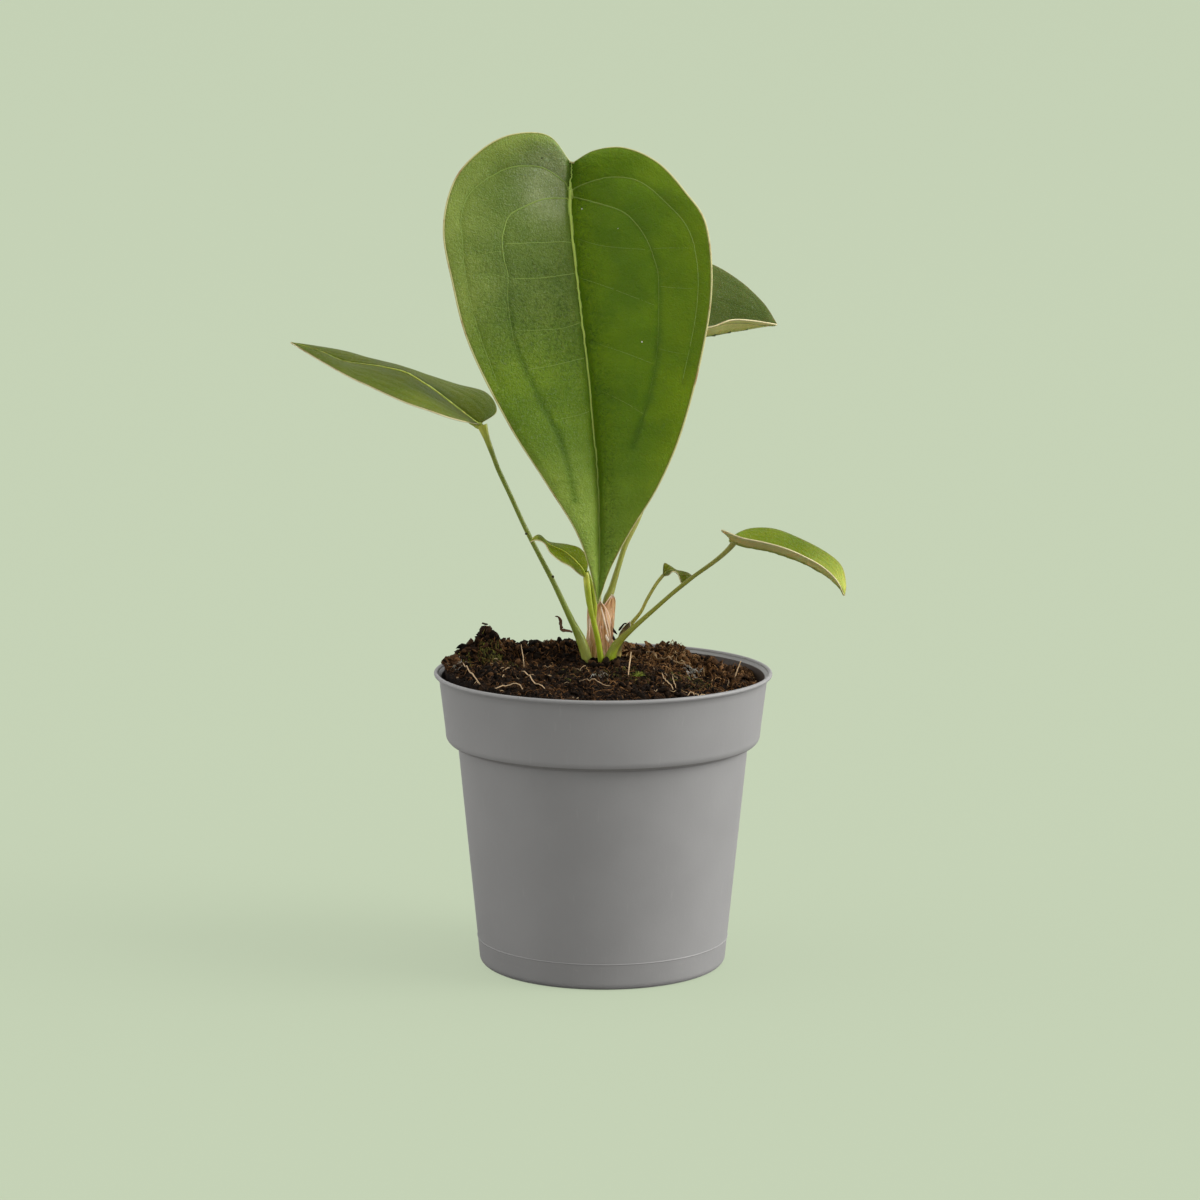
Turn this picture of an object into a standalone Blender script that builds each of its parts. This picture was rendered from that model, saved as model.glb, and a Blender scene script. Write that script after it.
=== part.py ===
"""Young anthurium plant in a grey nursery pot, as separate solids at real size.

Metres, +Z up. The origin is the centre of the pot's underside, and -Y is the
side that the big leaf faces. Guide points are written in millimetres.
"""

import math

import bmesh
import bpy
from mathutils import Vector, noise

MM = 0.001
GAP = 0.3 * MM

# Pot: a 12 cm nursery pot, turned about Z
POT_HEIGHT = 105.5
RIM_RADIUS = 60.0
BAND_TOP_RADIUS = 58.2
BAND_FOOT_RADIUS = 55.9
BAND_FOOT_HEIGHT = 84.0
BODY_TOP_RADIUS = 51.4
BODY_TOP_HEIGHT = 77.4
BODY_FOOT_RADIUS = 43.8
FOOT_ROUNDING = 2.6
MOULD_LINE_HEIGHT = 9.6
WALL = 1.2
FLOOR = 1.6
TURN_STEPS = 72
DRAIN_HOLES = 8
DRAIN_RADIUS = 3.5
DRAIN_CIRCLE = 27.0

# Soil: the height of its edge and crown, and its clumps as x, y, spread, rise
SOIL_RINGS = 15
SOIL_EDGE = 102.6
SOIL_EDGE_SWING = 4.2
SOIL_EDGE_LOW_ANGLE = math.radians(10)
SOIL_CROWN = 107.6
SOIL_CLUMPS = (
    (-42, 8, 6.5, 11.0),
    (-50, 2, 5.0, 3.0),
    (-30, 14, 8.0, 4.0),
    (-16, 16, 9.0, 4.0),
    (26, 14, 9.0, 5.5),
    (38, 6, 6.0, 3.5),
    (8, 22, 10.0, 2.0),
    (0, 32, 24.0, 3.0),
    (-38, -14, 9.0, 2.0),
)
SOIL_COARSE = 1.3
SOIL_FINE = 0.6

# Stock: the short upright stem that all the leaf stalks grow from
STOCK_CENTRE = (0.0, -0.4)
STOCK_RADIUS = 7.2
STOCK_FOOT = 84.0
STOCK_TOP = 108.6

# Blades: the sheet's thickness, and its rows and columns to each half
BLADE_THICKNESS = 0.8
BLADE_ROWS = 20
BLADE_COLUMNS = 4

# Each blade has a midrib from tip to notch and one margin to each side of it,
# with a guide point of each margin for each guide point of the midrib. The
# halves stand on the upper side's left and right when the tip points down.
BLADES = {
    "leaf_1_blade": {
        "colour": (0.105, 0.215, 0.035),
        "bulge": 2.0,
        "midrib": (
            (-2, -12, 131), (-1.5, -12, 143), (-1.5, -11, 157), (-2, -9, 173),
            (-3.5, -6.5, 192), (-6.5, -2, 219.5), (-9, 2, 240), (-11.5, 6, 261),
            (-12, 8, 272), (-12, 7.5, 277), (-11.5, 7, 280), (-11.5, 6.5, 282.5),
            (-11.5, 6, 284),
        ),
        "left": (
            (-2, -12, 131), (-5, -12.5, 144.5), (-10, -14, 158), (-20.5, -15, 175),
            (-33, -15.5, 195), (-46.5, -13, 222), (-52.5, -11, 244), (-55.5, -9, 262),
            (-52, -4, 278), (-43, 0, 288.5), (-32, 3, 294), (-19.5, 5, 293.5),
            (-11.5, 6, 284),
        ),
        "right": (
            (-2, -12, 131), (2.5, -12.5, 144), (9.5, -14, 157.5), (19, -15.5, 173.5),
            (27, -16, 193), (34, -15, 220.5), (37, -13, 243), (35, -10, 263.5),
            (28, -6, 274.5), (18.5, 0, 284.5), (7, 3, 289.5), (-3.5, 5, 288.5),
            (-11.5, 6, 284),
        ),
    },
    "leaf_2_blade": {
        "colour": (0.075, 0.12, 0.05),
        "bulge": 1.5,
        "midrib": (
            (62.5, 40, 225.5), (57, 39.5, 225), (51, 39, 224), (44.5, 38.5, 223),
            (38.5, 38, 222), (29, 37.5, 221), (22, 37, 220), (18.5, 36, 219.5),
            (16.5, 35, 219.5),
        ),
        "left": (
            (62.5, 40, 225.5), (59, 34, 226.5), (52, 27, 228), (45, 21, 228.5),
            (38, 16, 226.5), (28.5, 14, 225.5), (19, 16, 223.5), (13, 24, 220.5),
            (16.5, 35, 219.5),
        ),
        "right": (
            (62.5, 40, 225.5), (59.5, 46, 230.5), (56, 51, 234.5), (49.5, 57, 240),
            (40, 61, 245.5), (28.5, 61, 248.5), (17, 58, 245), (9.5, 48, 233.5),
            (16.5, 35, 219.5),
        ),
    },
    "leaf_3_blade": {
        "colour": (0.085, 0.13, 0.035),
        "bulge": 1.0,
        "midrib": (
            (-110.5, 10, 221), (-100, 9, 218), (-91.5, 8, 214.5), (-80.5, 7, 213),
            (-70.5, 6, 211), (-64, 5, 207.5), (-58, 4, 203.5), (-51, 3, 198),
            (-45, 2, 193.5), (-43.5, 2, 193),
        ),
        "left": (
            (-110.5, 10, 221), (-103, 15, 219.5), (-92, 21, 217), (-82, 26, 213.5),
            (-72.5, 29, 210.5), (-62.5, 30, 207.5), (-52.5, 29, 204.5), (-42, 24, 202),
            (-38, 13, 196.5), (-43.5, 2, 193),
        ),
        "right": (
            (-110.5, 10, 221), (-100.5, 1, 216), (-89, -10, 211), (-81.5, -14, 208),
            (-74, -18, 205), (-67.5, -20, 202.5), (-60, -20, 200), (-53.5, -18, 197.5),
            (-47.5, -14, 195.5), (-43.5, 2, 193),
        ),
    },
    "leaf_4_blade": {
        "colour": (0.17, 0.27, 0.045),
        "bulge": 0.6,
        "midrib": (
            (85.5, 0, 132.5), (83.5, -1, 136), (79, -1, 140), (72.5, -1, 144),
            (66.5, -0.5, 146.5), (58.5, 0, 149), (50.5, 0, 150.5), (46, 0, 152),
            (45, 0, 152.5),
        ),
        "left": (
            (85.5, 0, 132.5), (82.5, -3, 138.5), (77, -6, 144), (69.5, -9.5, 148.5),
            (63, -12, 151.5), (55.5, -12, 153.5), (48, -11.5, 155), (41.5, -7, 157),
            (45, 0, 152.5),
        ),
        "right": (
            (85.5, 0, 132.5), (86, 2, 136.5), (84.5, 5, 142.5), (79, 9, 147),
            (69.5, 13, 151.5), (61, 14, 154.5), (53, 12, 155), (47.5, 6, 154),
            (45, 0, 152.5),
        ),
    },
    "leaf_5_blade": {
        "colour": (0.13, 0.14, 0.05),
        "bulge": 0.2,
        "midrib": (
            (31.5, 8, 138.5), (29.5, 6, 139), (27.5, 5, 139), (26, 5, 140.3),
            (24, 5, 141), (22, 5, 140), (21, 5, 138.5),
        ),
        "left": (
            (31.5, 8, 138.5), (30, 4, 137.5), (28, 2, 136.3), (26.5, 3, 139.8),
            (24.5, 2, 140.8), (23, 2, 139.5), (21, 5, 138.5),
        ),
        "right": (
            (31.5, 8, 138.5), (30, 8, 139.5), (28, 8.5, 140), (26, 8, 140.5),
            (23.5, 9, 142), (21.5, 8.5, 142.6), (21, 5, 138.5),
        ),
    },
    "leaf_6_blade": {
        "colour": (0.3, 0.4, 0.07),
        "bulge": 0.3,
        "midrib": (
            (-26, -8, 152.5), (-23.5, -8, 154), (-21, -8.5, 153.5), (-18.5, -9, 151.5),
            (-14, -9, 149.5), (-10.5, -8, 146.5), (-7.5, -7, 143), (-6, -6, 139.5),
        ),
        "left": (
            (-26, -8, 152.5), (-24, -6, 154.5), (-22, -4.5, 154.5), (-19, -3, 152),
            (-12.5, -2.5, 151), (-8, -3, 149.5), (-5.5, -4, 145.5), (-6, -6, 139.5),
        ),
        "right": (
            (-26, -8, 152.5), (-23.5, -9.5, 153.5), (-20.5, -11, 152.5), (-18.5, -13, 149.5),
            (-15, -13, 146.5), (-11.5, -12, 144.5), (-8.5, -9.5, 141.5), (-6, -6, 139.5),
        ),
    },
}

# Stalks: the route up from the stock, and the radius at its foot, middle and top
STALKS = {
    "leaf_1_petiole": {
        "colour": (0.16, 0.25, 0.04),
        "radii": (1.4, 1.2, 1.3),
        "route": (
            (-1.3, 2.9, 109.0), (-1.4, 3.2, 112), (-2, 5.5, 130), (-2.5, 9, 151),
            (-4, 14, 182.5), (-7, 18, 218), (-10, 19.5, 249.5), (-11.5, 16.5, 266),
            (-12, 11.6, 271.5), (-12, 9.0, 271.8),
        ),
    },
    "leaf_2_petiole": {
        "colour": (0.2, 0.24, 0.06),
        "radii": (1.4, 1.0, 1.1),
        "route": (
            (1.8, 4, 109.0), (1.8, 4.3, 112), (2, 6, 121), (3, 8, 129), (5.5, 10.5, 141),
            (8, 13, 149), (12.5, 17, 158), (16.5, 22, 169), (20, 28, 184.5),
            (20.5, 32, 200.5), (19, 34.5, 214), (18.5, 35.6, 218.5),
        ),
    },
    "leaf_3_petiole": {
        "colour": (0.17, 0.24, 0.05),
        "radii": (1.9, 0.8, 1.3),
        "route": (
            (-5.4, -2.2, 109.2), (-5.6, -2.2, 111), (-8.2, -2.2, 116), (-11.5, -2, 124),
            (-17.8, -1, 137.5), (-27, 1, 155), (-32.5, 1, 167), (-36.8, 1, 176.5),
            (-39.5, 1, 187), (-43, 1.6, 190.4), (-44.6, 1.9, 191.1),
        ),
    },
    "leaf_4_petiole": {
        "colour": (0.2, 0.27, 0.05),
        "radii": (1.8, 0.7, 0.95),
        "route": (
            (1.2, -3.9, 109.2), (1.4, -4, 111), (4.8, -4, 115), (10, -4, 120.5),
            (17.5, -3, 127.5), (28.5, -2, 137), (39.5, -1, 145), (44.5, -0.3, 149.2),
            (45.8, -0.1, 150.6),
        ),
    },
    "leaf_5_petiole": {
        "colour": (0.27, 0.3, 0.06),
        "radii": (0.9, 0.6, 0.6),
        "route": (
            (5.3, 0.6, 109.2), (5.5, 0.7, 111), (9.5, 1.5, 121.2), (13.2, 2, 126),
            (15.5, 3, 130.5), (18.5, 4, 135.5), (20.8, 4.9, 138.2),
        ),
    },
    "leaf_6_petiole": {
        "colour": (0.3, 0.38, 0.06),
        "radii": (0.9, 0.75, 1.1),
        "route": (
            (-1.4, -5.6, 109.1), (-1.6, -5.8, 111), (-3, -7, 120), (-4, -7.5, 125.5),
            (-5.3, -7.5, 131), (-6.1, -6.8, 136.5), (-6.1, -6.1, 139.2),
        ),
    },
}
STALK_SAMPLES = 22

# Cataphylls: dry sheaths round the stalks' feet, each an arc about an upright
# axis, from its foot to its point, with the side it faces in degrees
CATAPHYLLS = {
    "cataphyll_front": {
        "axis": (0.2, 3.0), "radius": 3.7, "facing": -92, "half_arc": 72,
        "foot": 109.0, "point": 129.5, "lean": (0.0, -0.8),
    },
    "cataphyll_left": {
        "axis": (-0.5, 3.0), "radius": 4.9, "facing": 205, "half_arc": 52,
        "foot": 109.0, "point": 127.0, "lean": (0.2, 0.0),
    },
    "cataphyll_right": {
        "axis": (-0.2, 3.0), "radius": 4.9, "facing": -14, "half_arc": 38,
        "foot": 109.0, "point": 130.5, "lean": (0.4, 0.4),
    },
}
CATAPHYLL_THICKNESS = 0.6


def clear_scene():
    for thing in list(bpy.data.objects):
        bpy.data.objects.remove(thing, do_unlink=True)


def new_collection(name, shown=True):
    group = bpy.data.collections.new(name)
    bpy.context.scene.collection.children.link(group)
    group.hide_render = not shown
    return group


def paint(thing, name, colour, roughness):
    """Give an object its own Principled material."""
    skin = bpy.data.materials.new(name)
    skin.use_nodes = True
    shader = skin.node_tree.nodes["Principled BSDF"]
    shader.inputs["Base Color"].default_value = (*colour, 1.0)
    shader.inputs["Roughness"].default_value = roughness
    shader.inputs["Metallic"].default_value = 0.0
    thing.data.materials.append(skin)


def object_from_bmesh(name, shape, group, smooth=True):
    mesh = bpy.data.meshes.new(name)
    shape.to_mesh(mesh)
    shape.free()
    for face in mesh.polygons:
        face.use_smooth = smooth
    thing = bpy.data.objects.new(name, mesh)
    group.objects.link(thing)
    return thing


def apply_modifiers(thing):
    """Replace an object's mesh by the one its modifiers make."""
    graph = bpy.context.evaluated_depsgraph_get()
    baked = bpy.data.meshes.new_from_object(thing.evaluated_get(graph))
    thing.modifiers.clear()
    thing.data = baked


def arc(centre, radius, start, end, steps):
    """Points of a round corner in the turning plane, angles in degrees."""
    points = []
    for step in range(steps + 1):
        angle = math.radians(start + (end - start) * step / steps)
        points.append((centre[0] + radius * math.cos(angle), centre[1] + radius * math.sin(angle)))
    return points


def turned(name, profile, group):
    """A body of revolution, from a profile that runs down its outer side."""
    shape = bmesh.new()
    line = [shape.verts.new((radius * MM, 0, height * MM)) for radius, height in profile]
    for first, second in zip(line, line[1:]):
        shape.edges.new((first, second))
    thing = object_from_bmesh(name, shape, group)
    screw = thing.modifiers.new("turn", "SCREW")
    screw.axis = "Z"
    screw.angle = math.tau
    screw.steps = TURN_STEPS
    screw.render_steps = TURN_STEPS
    screw.use_merge_vertices = True
    screw.merge_threshold = 0.00001
    screw.use_smooth_shade = True
    return thing


def body_radius(height):
    """Outer radius of the tapering body at a height."""
    return BODY_FOOT_RADIUS + (BODY_TOP_RADIUS - BODY_FOOT_RADIUS) * height / BODY_TOP_HEIGHT


def band_radius(height):
    """Outer radius of the rim band at a height."""
    share = (height - BAND_FOOT_HEIGHT) / (POT_HEIGHT - 2.2 - BAND_FOOT_HEIGHT)
    return BAND_FOOT_RADIUS + (BAND_TOP_RADIUS - BAND_FOOT_RADIUS) * share


def make_pot(group, cutters):
    inside = [
        (0, FLOOR),
        (body_radius(FLOOR) - WALL - 2.0, FLOOR),
        (body_radius(4) - WALL, 4.0),
        (body_radius(BODY_TOP_HEIGHT) - WALL, BODY_TOP_HEIGHT + 1.0),
        (BAND_FOOT_RADIUS - WALL - 1.5, BODY_TOP_HEIGHT + 3.4),
        (BAND_FOOT_RADIUS - WALL, BAND_FOOT_HEIGHT + 0.6),
        (BAND_TOP_RADIUS - WALL, POT_HEIGHT - 2.4),
    ]
    lip = [
        (RIM_RADIUS - 1.6, POT_HEIGHT - 0.3),
        (RIM_RADIUS - 1.0, POT_HEIGHT),
        (RIM_RADIUS - 0.4, POT_HEIGHT - 0.2),
        (RIM_RADIUS, POT_HEIGHT - 0.8),
        (RIM_RADIUS - 0.2, POT_HEIGHT - 1.6),
        (BAND_TOP_RADIUS + 0.4, POT_HEIGHT - 1.9),
        (BAND_TOP_RADIUS, POT_HEIGHT - 2.4),
    ]
    shoulder = (BAND_FOOT_RADIUS - 4.0, BAND_FOOT_HEIGHT - 0.6)
    band_foot = arc(shoulder, 4.0, 0, -62, 4)
    line = MOULD_LINE_HEIGHT
    body = [
        (BODY_TOP_RADIUS, BODY_TOP_HEIGHT),
        (body_radius(line + 0.5), line + 0.5),
        (body_radius(line) + 0.25, line),
        (body_radius(line - 0.5), line - 0.5),
    ]
    corner = (body_radius(FOOT_ROUNDING) - FOOT_ROUNDING, FOOT_ROUNDING)
    foot = arc(corner, FOOT_ROUNDING, 0, -90, 4)
    pot = turned("pot", inside + lip + band_foot + body + foot + [(0, 0)], group)

    drains = bmesh.new()
    for hole in range(DRAIN_HOLES):
        angle = math.tau * hole / DRAIN_HOLES
        made = bmesh.ops.create_cone(
            drains, cap_ends=True, segments=12, depth=8 * MM,
            radius1=DRAIN_RADIUS * MM, radius2=DRAIN_RADIUS * MM,
        )
        place = Vector((math.cos(angle), math.sin(angle), 0)) * DRAIN_CIRCLE * MM
        bmesh.ops.translate(drains, verts=made["verts"], vec=place)
    cutter = object_from_bmesh("drain_cutter", drains, cutters)
    cutter.display_type = "WIRE"
    cutter.hide_render = True
    cut = pot.modifiers.new("drains", "BOOLEAN")
    cut.operation = "DIFFERENCE"
    cut.solver = "EXACT"
    cut.object = cutter
    paint(pot, "pot_plastic", (0.2, 0.2, 0.2), 0.55)


def soil_height(x, y):
    """Height of the soil's surface, in millimetres."""
    reach = math.hypot(x, y)
    swing = math.cos(math.atan2(y, x) - SOIL_EDGE_LOW_ANGLE)
    edge = SOIL_EDGE - SOIL_EDGE_SWING * swing
    share = min(max((reach - 12) / 44, 0), 1)
    share = share * share * (3 - 2 * share)
    height = SOIL_CROWN + (edge - SOIL_CROWN) * share
    fade = min(max((reach - 8) / 6, 0), 1)
    for clump_x, clump_y, spread, rise in SOIL_CLUMPS:
        away = math.hypot(x - clump_x, y - clump_y) / spread
        height += rise * fade * math.exp(-away * away)
    height += fade * SOIL_COARSE * noise.noise(Vector((x / 7, y / 7, 3.0)))
    height += fade * SOIL_FINE * noise.noise(Vector((x / 3, y / 3, 9.0)))
    return height


def make_soil(group, cutters):
    clear = GAP / MM
    edge = BAND_TOP_RADIUS - WALL - 1.4
    rings = [(edge * ring / SOIL_RINGS, SOIL_CROWN) for ring in range(SOIL_RINGS + 1)]
    side = [
        (BAND_FOOT_RADIUS - WALL - clear, BAND_FOOT_HEIGHT + 1.0),
        (BAND_FOOT_RADIUS - WALL - 1.5 - clear, BODY_TOP_HEIGHT + 3.9),
        (body_radius(BODY_TOP_HEIGHT) - WALL - clear, BODY_TOP_HEIGHT + 1.2),
        (body_radius(4) - WALL - clear, 4.2),
        (body_radius(FLOOR) - WALL - 2.2, FLOOR + clear),
        (0, FLOOR + clear),
    ]
    soil = turned("soil", rings + side, group)
    apply_modifiers(soil)
    for point in soil.data.vertices:
        if point.co.z > (BAND_FOOT_HEIGHT + 2) * MM:
            point.co.z = soil_height(point.co.x / MM, point.co.y / MM) * MM

    hole = bmesh.new()
    depth = 60.0
    reach = STOCK_RADIUS + clear
    bmesh.ops.create_cone(
        hole, cap_ends=True, segments=32, depth=depth * MM, radius1=reach * MM, radius2=reach * MM,
    )
    middle = STOCK_FOOT - clear + depth / 2
    bmesh.ops.translate(hole, verts=hole.verts, vec=Vector((*STOCK_CENTRE, middle)) * MM)
    cutter = object_from_bmesh("stock_hole_cutter", hole, cutters)
    cutter.display_type = "WIRE"
    cutter.hide_render = True
    cut = soil.modifiers.new("stock_hole", "BOOLEAN")
    cut.operation = "DIFFERENCE"
    cut.solver = "EXACT"
    cut.object = cutter
    paint(soil, "potting_soil", (0.035, 0.02, 0.012), 0.95)


def make_stock(group):
    shape = bmesh.new()
    depth = STOCK_TOP - STOCK_FOOT
    bmesh.ops.create_cone(
        shape, cap_ends=True, segments=32, depth=depth * MM,
        radius1=STOCK_RADIUS * 0.75 * MM, radius2=STOCK_RADIUS * MM,
    )
    middle = STOCK_FOOT + depth / 2
    bmesh.ops.translate(shape, verts=shape.verts, vec=Vector((*STOCK_CENTRE, middle)) * MM)
    stock = object_from_bmesh("stock", shape, group)
    bevel = stock.modifiers.new("rounded_top", "BEVEL")
    bevel.width = 0.9 * MM
    bevel.segments = 2
    bevel.limit_method = "ANGLE"
    paint(stock, "stock_rind", (0.22, 0.2, 0.06), 0.7)


def guide(points, place):
    """Point of a smooth curve through guide points, at a place from 0 to 1."""
    last = len(points) - 1
    along = min(max(place, 0.0), 1.0) * last
    start = min(int(along), last - 1)
    share = along - start
    second = Vector(points[start])
    third = Vector(points[start + 1])
    first = Vector(points[start - 1]) if start > 0 else second * 2 - third
    fourth = Vector(points[start + 2]) if start + 2 <= last else third * 2 - second
    curve = (second - first + third - second) / 2
    onward = (fourth - second) / 2
    square = share * share
    cube = square * share
    return (
        second * (2 * cube - 3 * square + 1) + curve * (cube - 2 * square + share)
        + third * (3 * square - 2 * cube) + onward * (cube - square)
    )


def make_blade(name, leaf, group):
    """A leaf blade: two sheets from the midrib to the margins, given a thickness."""
    shape = bmesh.new()
    for side in ("left", "right"):
        rows = []
        for row in range(BLADE_ROWS + 1):
            place = row / BLADE_ROWS
            inner = guide(leaf["midrib"], place)
            outer = guide(leaf[side], place)
            across = outer - inner
            onward = guide(leaf["midrib"], place + 0.02) - guide(leaf["midrib"], place - 0.02)
            rise = across.cross(onward) if side == "right" else onward.cross(across)
            rise = rise.normalized() * leaf["bulge"] * min(across.length / 20, 1)
            line = []
            for column in range(BLADE_COLUMNS + 1):
                share = column / BLADE_COLUMNS
                lift = rise * 4 * share * (1 - share)
                line.append(shape.verts.new((inner + across * share + lift) * MM))
            rows.append(line)
        for first, second in zip(rows, rows[1:]):
            for column in range(BLADE_COLUMNS):
                corners = [first[column], first[column + 1], second[column + 1], second[column]]
                shape.faces.new(corners if side == "right" else corners[::-1])
    bmesh.ops.remove_doubles(shape, verts=shape.verts, dist=0.00002)
    bmesh.ops.triangulate(shape, faces=shape.faces)
    blade = object_from_bmesh(name, shape, group)
    solid = blade.modifiers.new("thickness", "SOLIDIFY")
    solid.thickness = BLADE_THICKNESS * MM
    solid.offset = -1
    paint(blade, name + "_skin", leaf["colour"], 0.45)


def make_stalk(name, stalk, group):
    """A leaf stalk: a round tube whose radius changes along its route."""
    foot, middle, top = stalk["radii"]
    data = bpy.data.curves.new(name, "CURVE")
    data.dimensions = "3D"
    data.bevel_depth = MM
    data.bevel_resolution = 2
    data.use_fill_caps = True
    line = data.splines.new("POLY")
    line.points.add(STALK_SAMPLES)
    for sample, point in enumerate(line.points):
        place = sample / STALK_SAMPLES
        spread = max(1 - place / 0.3, 0) ** 2 * (foot - middle)
        swell = max((place - 0.8) / 0.2, 0) ** 2 * (top - middle)
        point.co = (*(guide(stalk["route"], place) * MM), 1)
        point.radius = middle + spread + swell
    thing = bpy.data.objects.new(name, data)
    group.objects.link(thing)
    weld = thing.modifiers.new("weld_caps", "WELD")
    weld.merge_threshold = 0.00001
    paint(thing, name + "_skin", stalk["colour"], 0.5)


def make_cataphyll(name, sheath, group):
    """A dry sheath: part of an upright cone that narrows to a point."""
    rows, columns = 8, 6
    shape = bmesh.new()
    grid = []
    for row in range(rows + 1):
        climb = row / rows
        half = math.radians(sheath["half_arc"]) * (1 - climb ** 1.8)
        radius = sheath["radius"] * (1 - 0.12 * climb)
        height = sheath["foot"] + (sheath["point"] - sheath["foot"]) * climb
        line = []
        for column in range(columns + 1):
            angle = math.radians(sheath["facing"]) + half * (2 * column / columns - 1)
            x = sheath["axis"][0] + sheath["lean"][0] * climb + radius * math.cos(angle)
            y = sheath["axis"][1] + sheath["lean"][1] * climb + radius * math.sin(angle)
            line.append(shape.verts.new(Vector((x, y, height)) * MM))
        grid.append(line)
    for first, second in zip(grid, grid[1:]):
        for column in range(columns):
            shape.faces.new([first[column], first[column + 1], second[column + 1], second[column]])
    bmesh.ops.remove_doubles(shape, verts=shape.verts, dist=0.00002)
    bmesh.ops.triangulate(shape, faces=shape.faces)
    thing = object_from_bmesh(name, shape, group)
    solid = thing.modifiers.new("thickness", "SOLIDIFY")
    solid.thickness = CATAPHYLL_THICKNESS * MM
    solid.offset = -1
    paint(thing, name + "_skin", (0.42, 0.24, 0.13), 0.8)


def main():
    clear_scene()
    plant = new_collection("potted_anthurium")
    cutters = new_collection("cutters", shown=False)
    make_pot(plant, cutters)
    make_soil(plant, cutters)
    make_stock(plant)
    for name, sheath in CATAPHYLLS.items():
        make_cataphyll(name, sheath, plant)
    for name, stalk in STALKS.items():
        make_stalk(name, stalk, plant)
    for name, leaf in BLADES.items():
        make_blade(name, leaf, plant)


main()
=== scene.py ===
"""Visible surfaces of a young anthurium in a grey nursery pot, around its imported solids.

Metres, +Z up, in the solids' own frame. Guide points and sizes are in millimetres
and are scaled where a mesh is made. The big leaf faces -Y.
"""

import math
import random

import bpy
import numpy as np
from bpy.props import FloatProperty, FloatVectorProperty, IntProperty, PointerProperty
from mathutils import Matrix, Vector, noise
from mathutils.bvhtree import BVHTree
from mathutils.kdtree import KDTree


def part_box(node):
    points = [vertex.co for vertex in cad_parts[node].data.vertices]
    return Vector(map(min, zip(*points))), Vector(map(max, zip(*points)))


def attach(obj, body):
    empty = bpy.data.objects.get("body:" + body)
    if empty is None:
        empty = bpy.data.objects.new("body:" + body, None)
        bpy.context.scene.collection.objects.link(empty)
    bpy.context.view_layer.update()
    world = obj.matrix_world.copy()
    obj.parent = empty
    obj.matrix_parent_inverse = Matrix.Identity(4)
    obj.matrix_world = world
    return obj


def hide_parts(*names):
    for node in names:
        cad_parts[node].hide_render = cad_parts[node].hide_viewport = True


bl_info = {
    "name": "Potted anthurium",
    "version": (1, 0, 0),
    "blender": (4, 5, 0),
    "location": "View3D > Sidebar > Plant",
    "description": "Builds the visible surfaces of a young anthurium in its nursery pot",
    "category": "Object",
}

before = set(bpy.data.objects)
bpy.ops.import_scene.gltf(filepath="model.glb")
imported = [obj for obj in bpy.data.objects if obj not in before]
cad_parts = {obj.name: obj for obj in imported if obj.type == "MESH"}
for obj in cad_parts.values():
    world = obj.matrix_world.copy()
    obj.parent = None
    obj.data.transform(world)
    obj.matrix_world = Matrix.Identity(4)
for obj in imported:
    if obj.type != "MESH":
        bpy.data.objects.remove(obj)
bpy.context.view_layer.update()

MM = 0.001

# Pot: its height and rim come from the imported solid, the rest steps in from them
POT_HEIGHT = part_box("pot")[1].z / MM
RIM_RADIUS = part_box("pot")[1].x / MM
BAND_TOP_RADIUS = RIM_RADIUS - 1.8
BAND_FOOT_RADIUS = RIM_RADIUS - 4.1
BAND_FOOT_HEIGHT = POT_HEIGHT - 21.5
BODY_TOP_RADIUS = RIM_RADIUS - 8.6
BODY_TOP_HEIGHT = POT_HEIGHT - 28.1
BODY_FOOT_RADIUS = RIM_RADIUS - 16.2
FOOT_ROUNDING = 2.6
MOULD_LINE_HEIGHT = 9.6
FLOOR = 1.6
DRAIN_HOLES = 8
DRAIN_RADIUS = 3.5
DRAIN_CIRCLE = 27.0
HALF_WALL = 0.6
SHOULDER = 3.4
LIP = 0.75
FLOOR_MIDDLE = 6.0

# Mould line round the pot's foot: height off the line, and how far it stands out
MOULD_LINE = ((-0.6, 0.0), (-0.25, 0.02), (0.0, 0.2), (0.25, 0.02), (0.6, 0.0))

# Soil: the height of its edge and crown, its clumps as x, y, spread, rise, and
# smaller drifts laid over them in the same terms
SOIL_EDGE = 102.6
SOIL_EDGE_SWING = 4.2
SOIL_EDGE_LOW_ANGLE = math.radians(10)
SOIL_CROWN = 107.6
SOIL_EDGE_RADIUS = BAND_TOP_RADIUS - 1.9
SOIL_CLUMPS = (
    (-42, 8, 6.5, 11.0),
    (-50, 2, 5.0, 3.0),
    (-30, 14, 8.0, 4.0),
    (-16, 16, 9.0, 4.0),
    (26, 14, 9.0, 5.5),
    (38, 6, 6.0, 3.5),
    (8, 22, 10.0, 2.0),
    (0, 32, 24.0, 3.0),
    (-38, -14, 9.0, 2.0),
)
SOIL_DRIFTS = (
    (-42, 8, 4.5, -2.5),
    (49, 14, 12.0, 4.2),
    (53, -8, 9.0, 2.6),
    (40, 30, 11.0, 2.6),
    (-36, 20, 9.0, 1.6),
    (-54, -3, 6.0, 1.6),
    (0, -3, 7.5, 1.5),
)
SOIL_COARSE = 1.3
SOIL_FINE = 0.6

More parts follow.
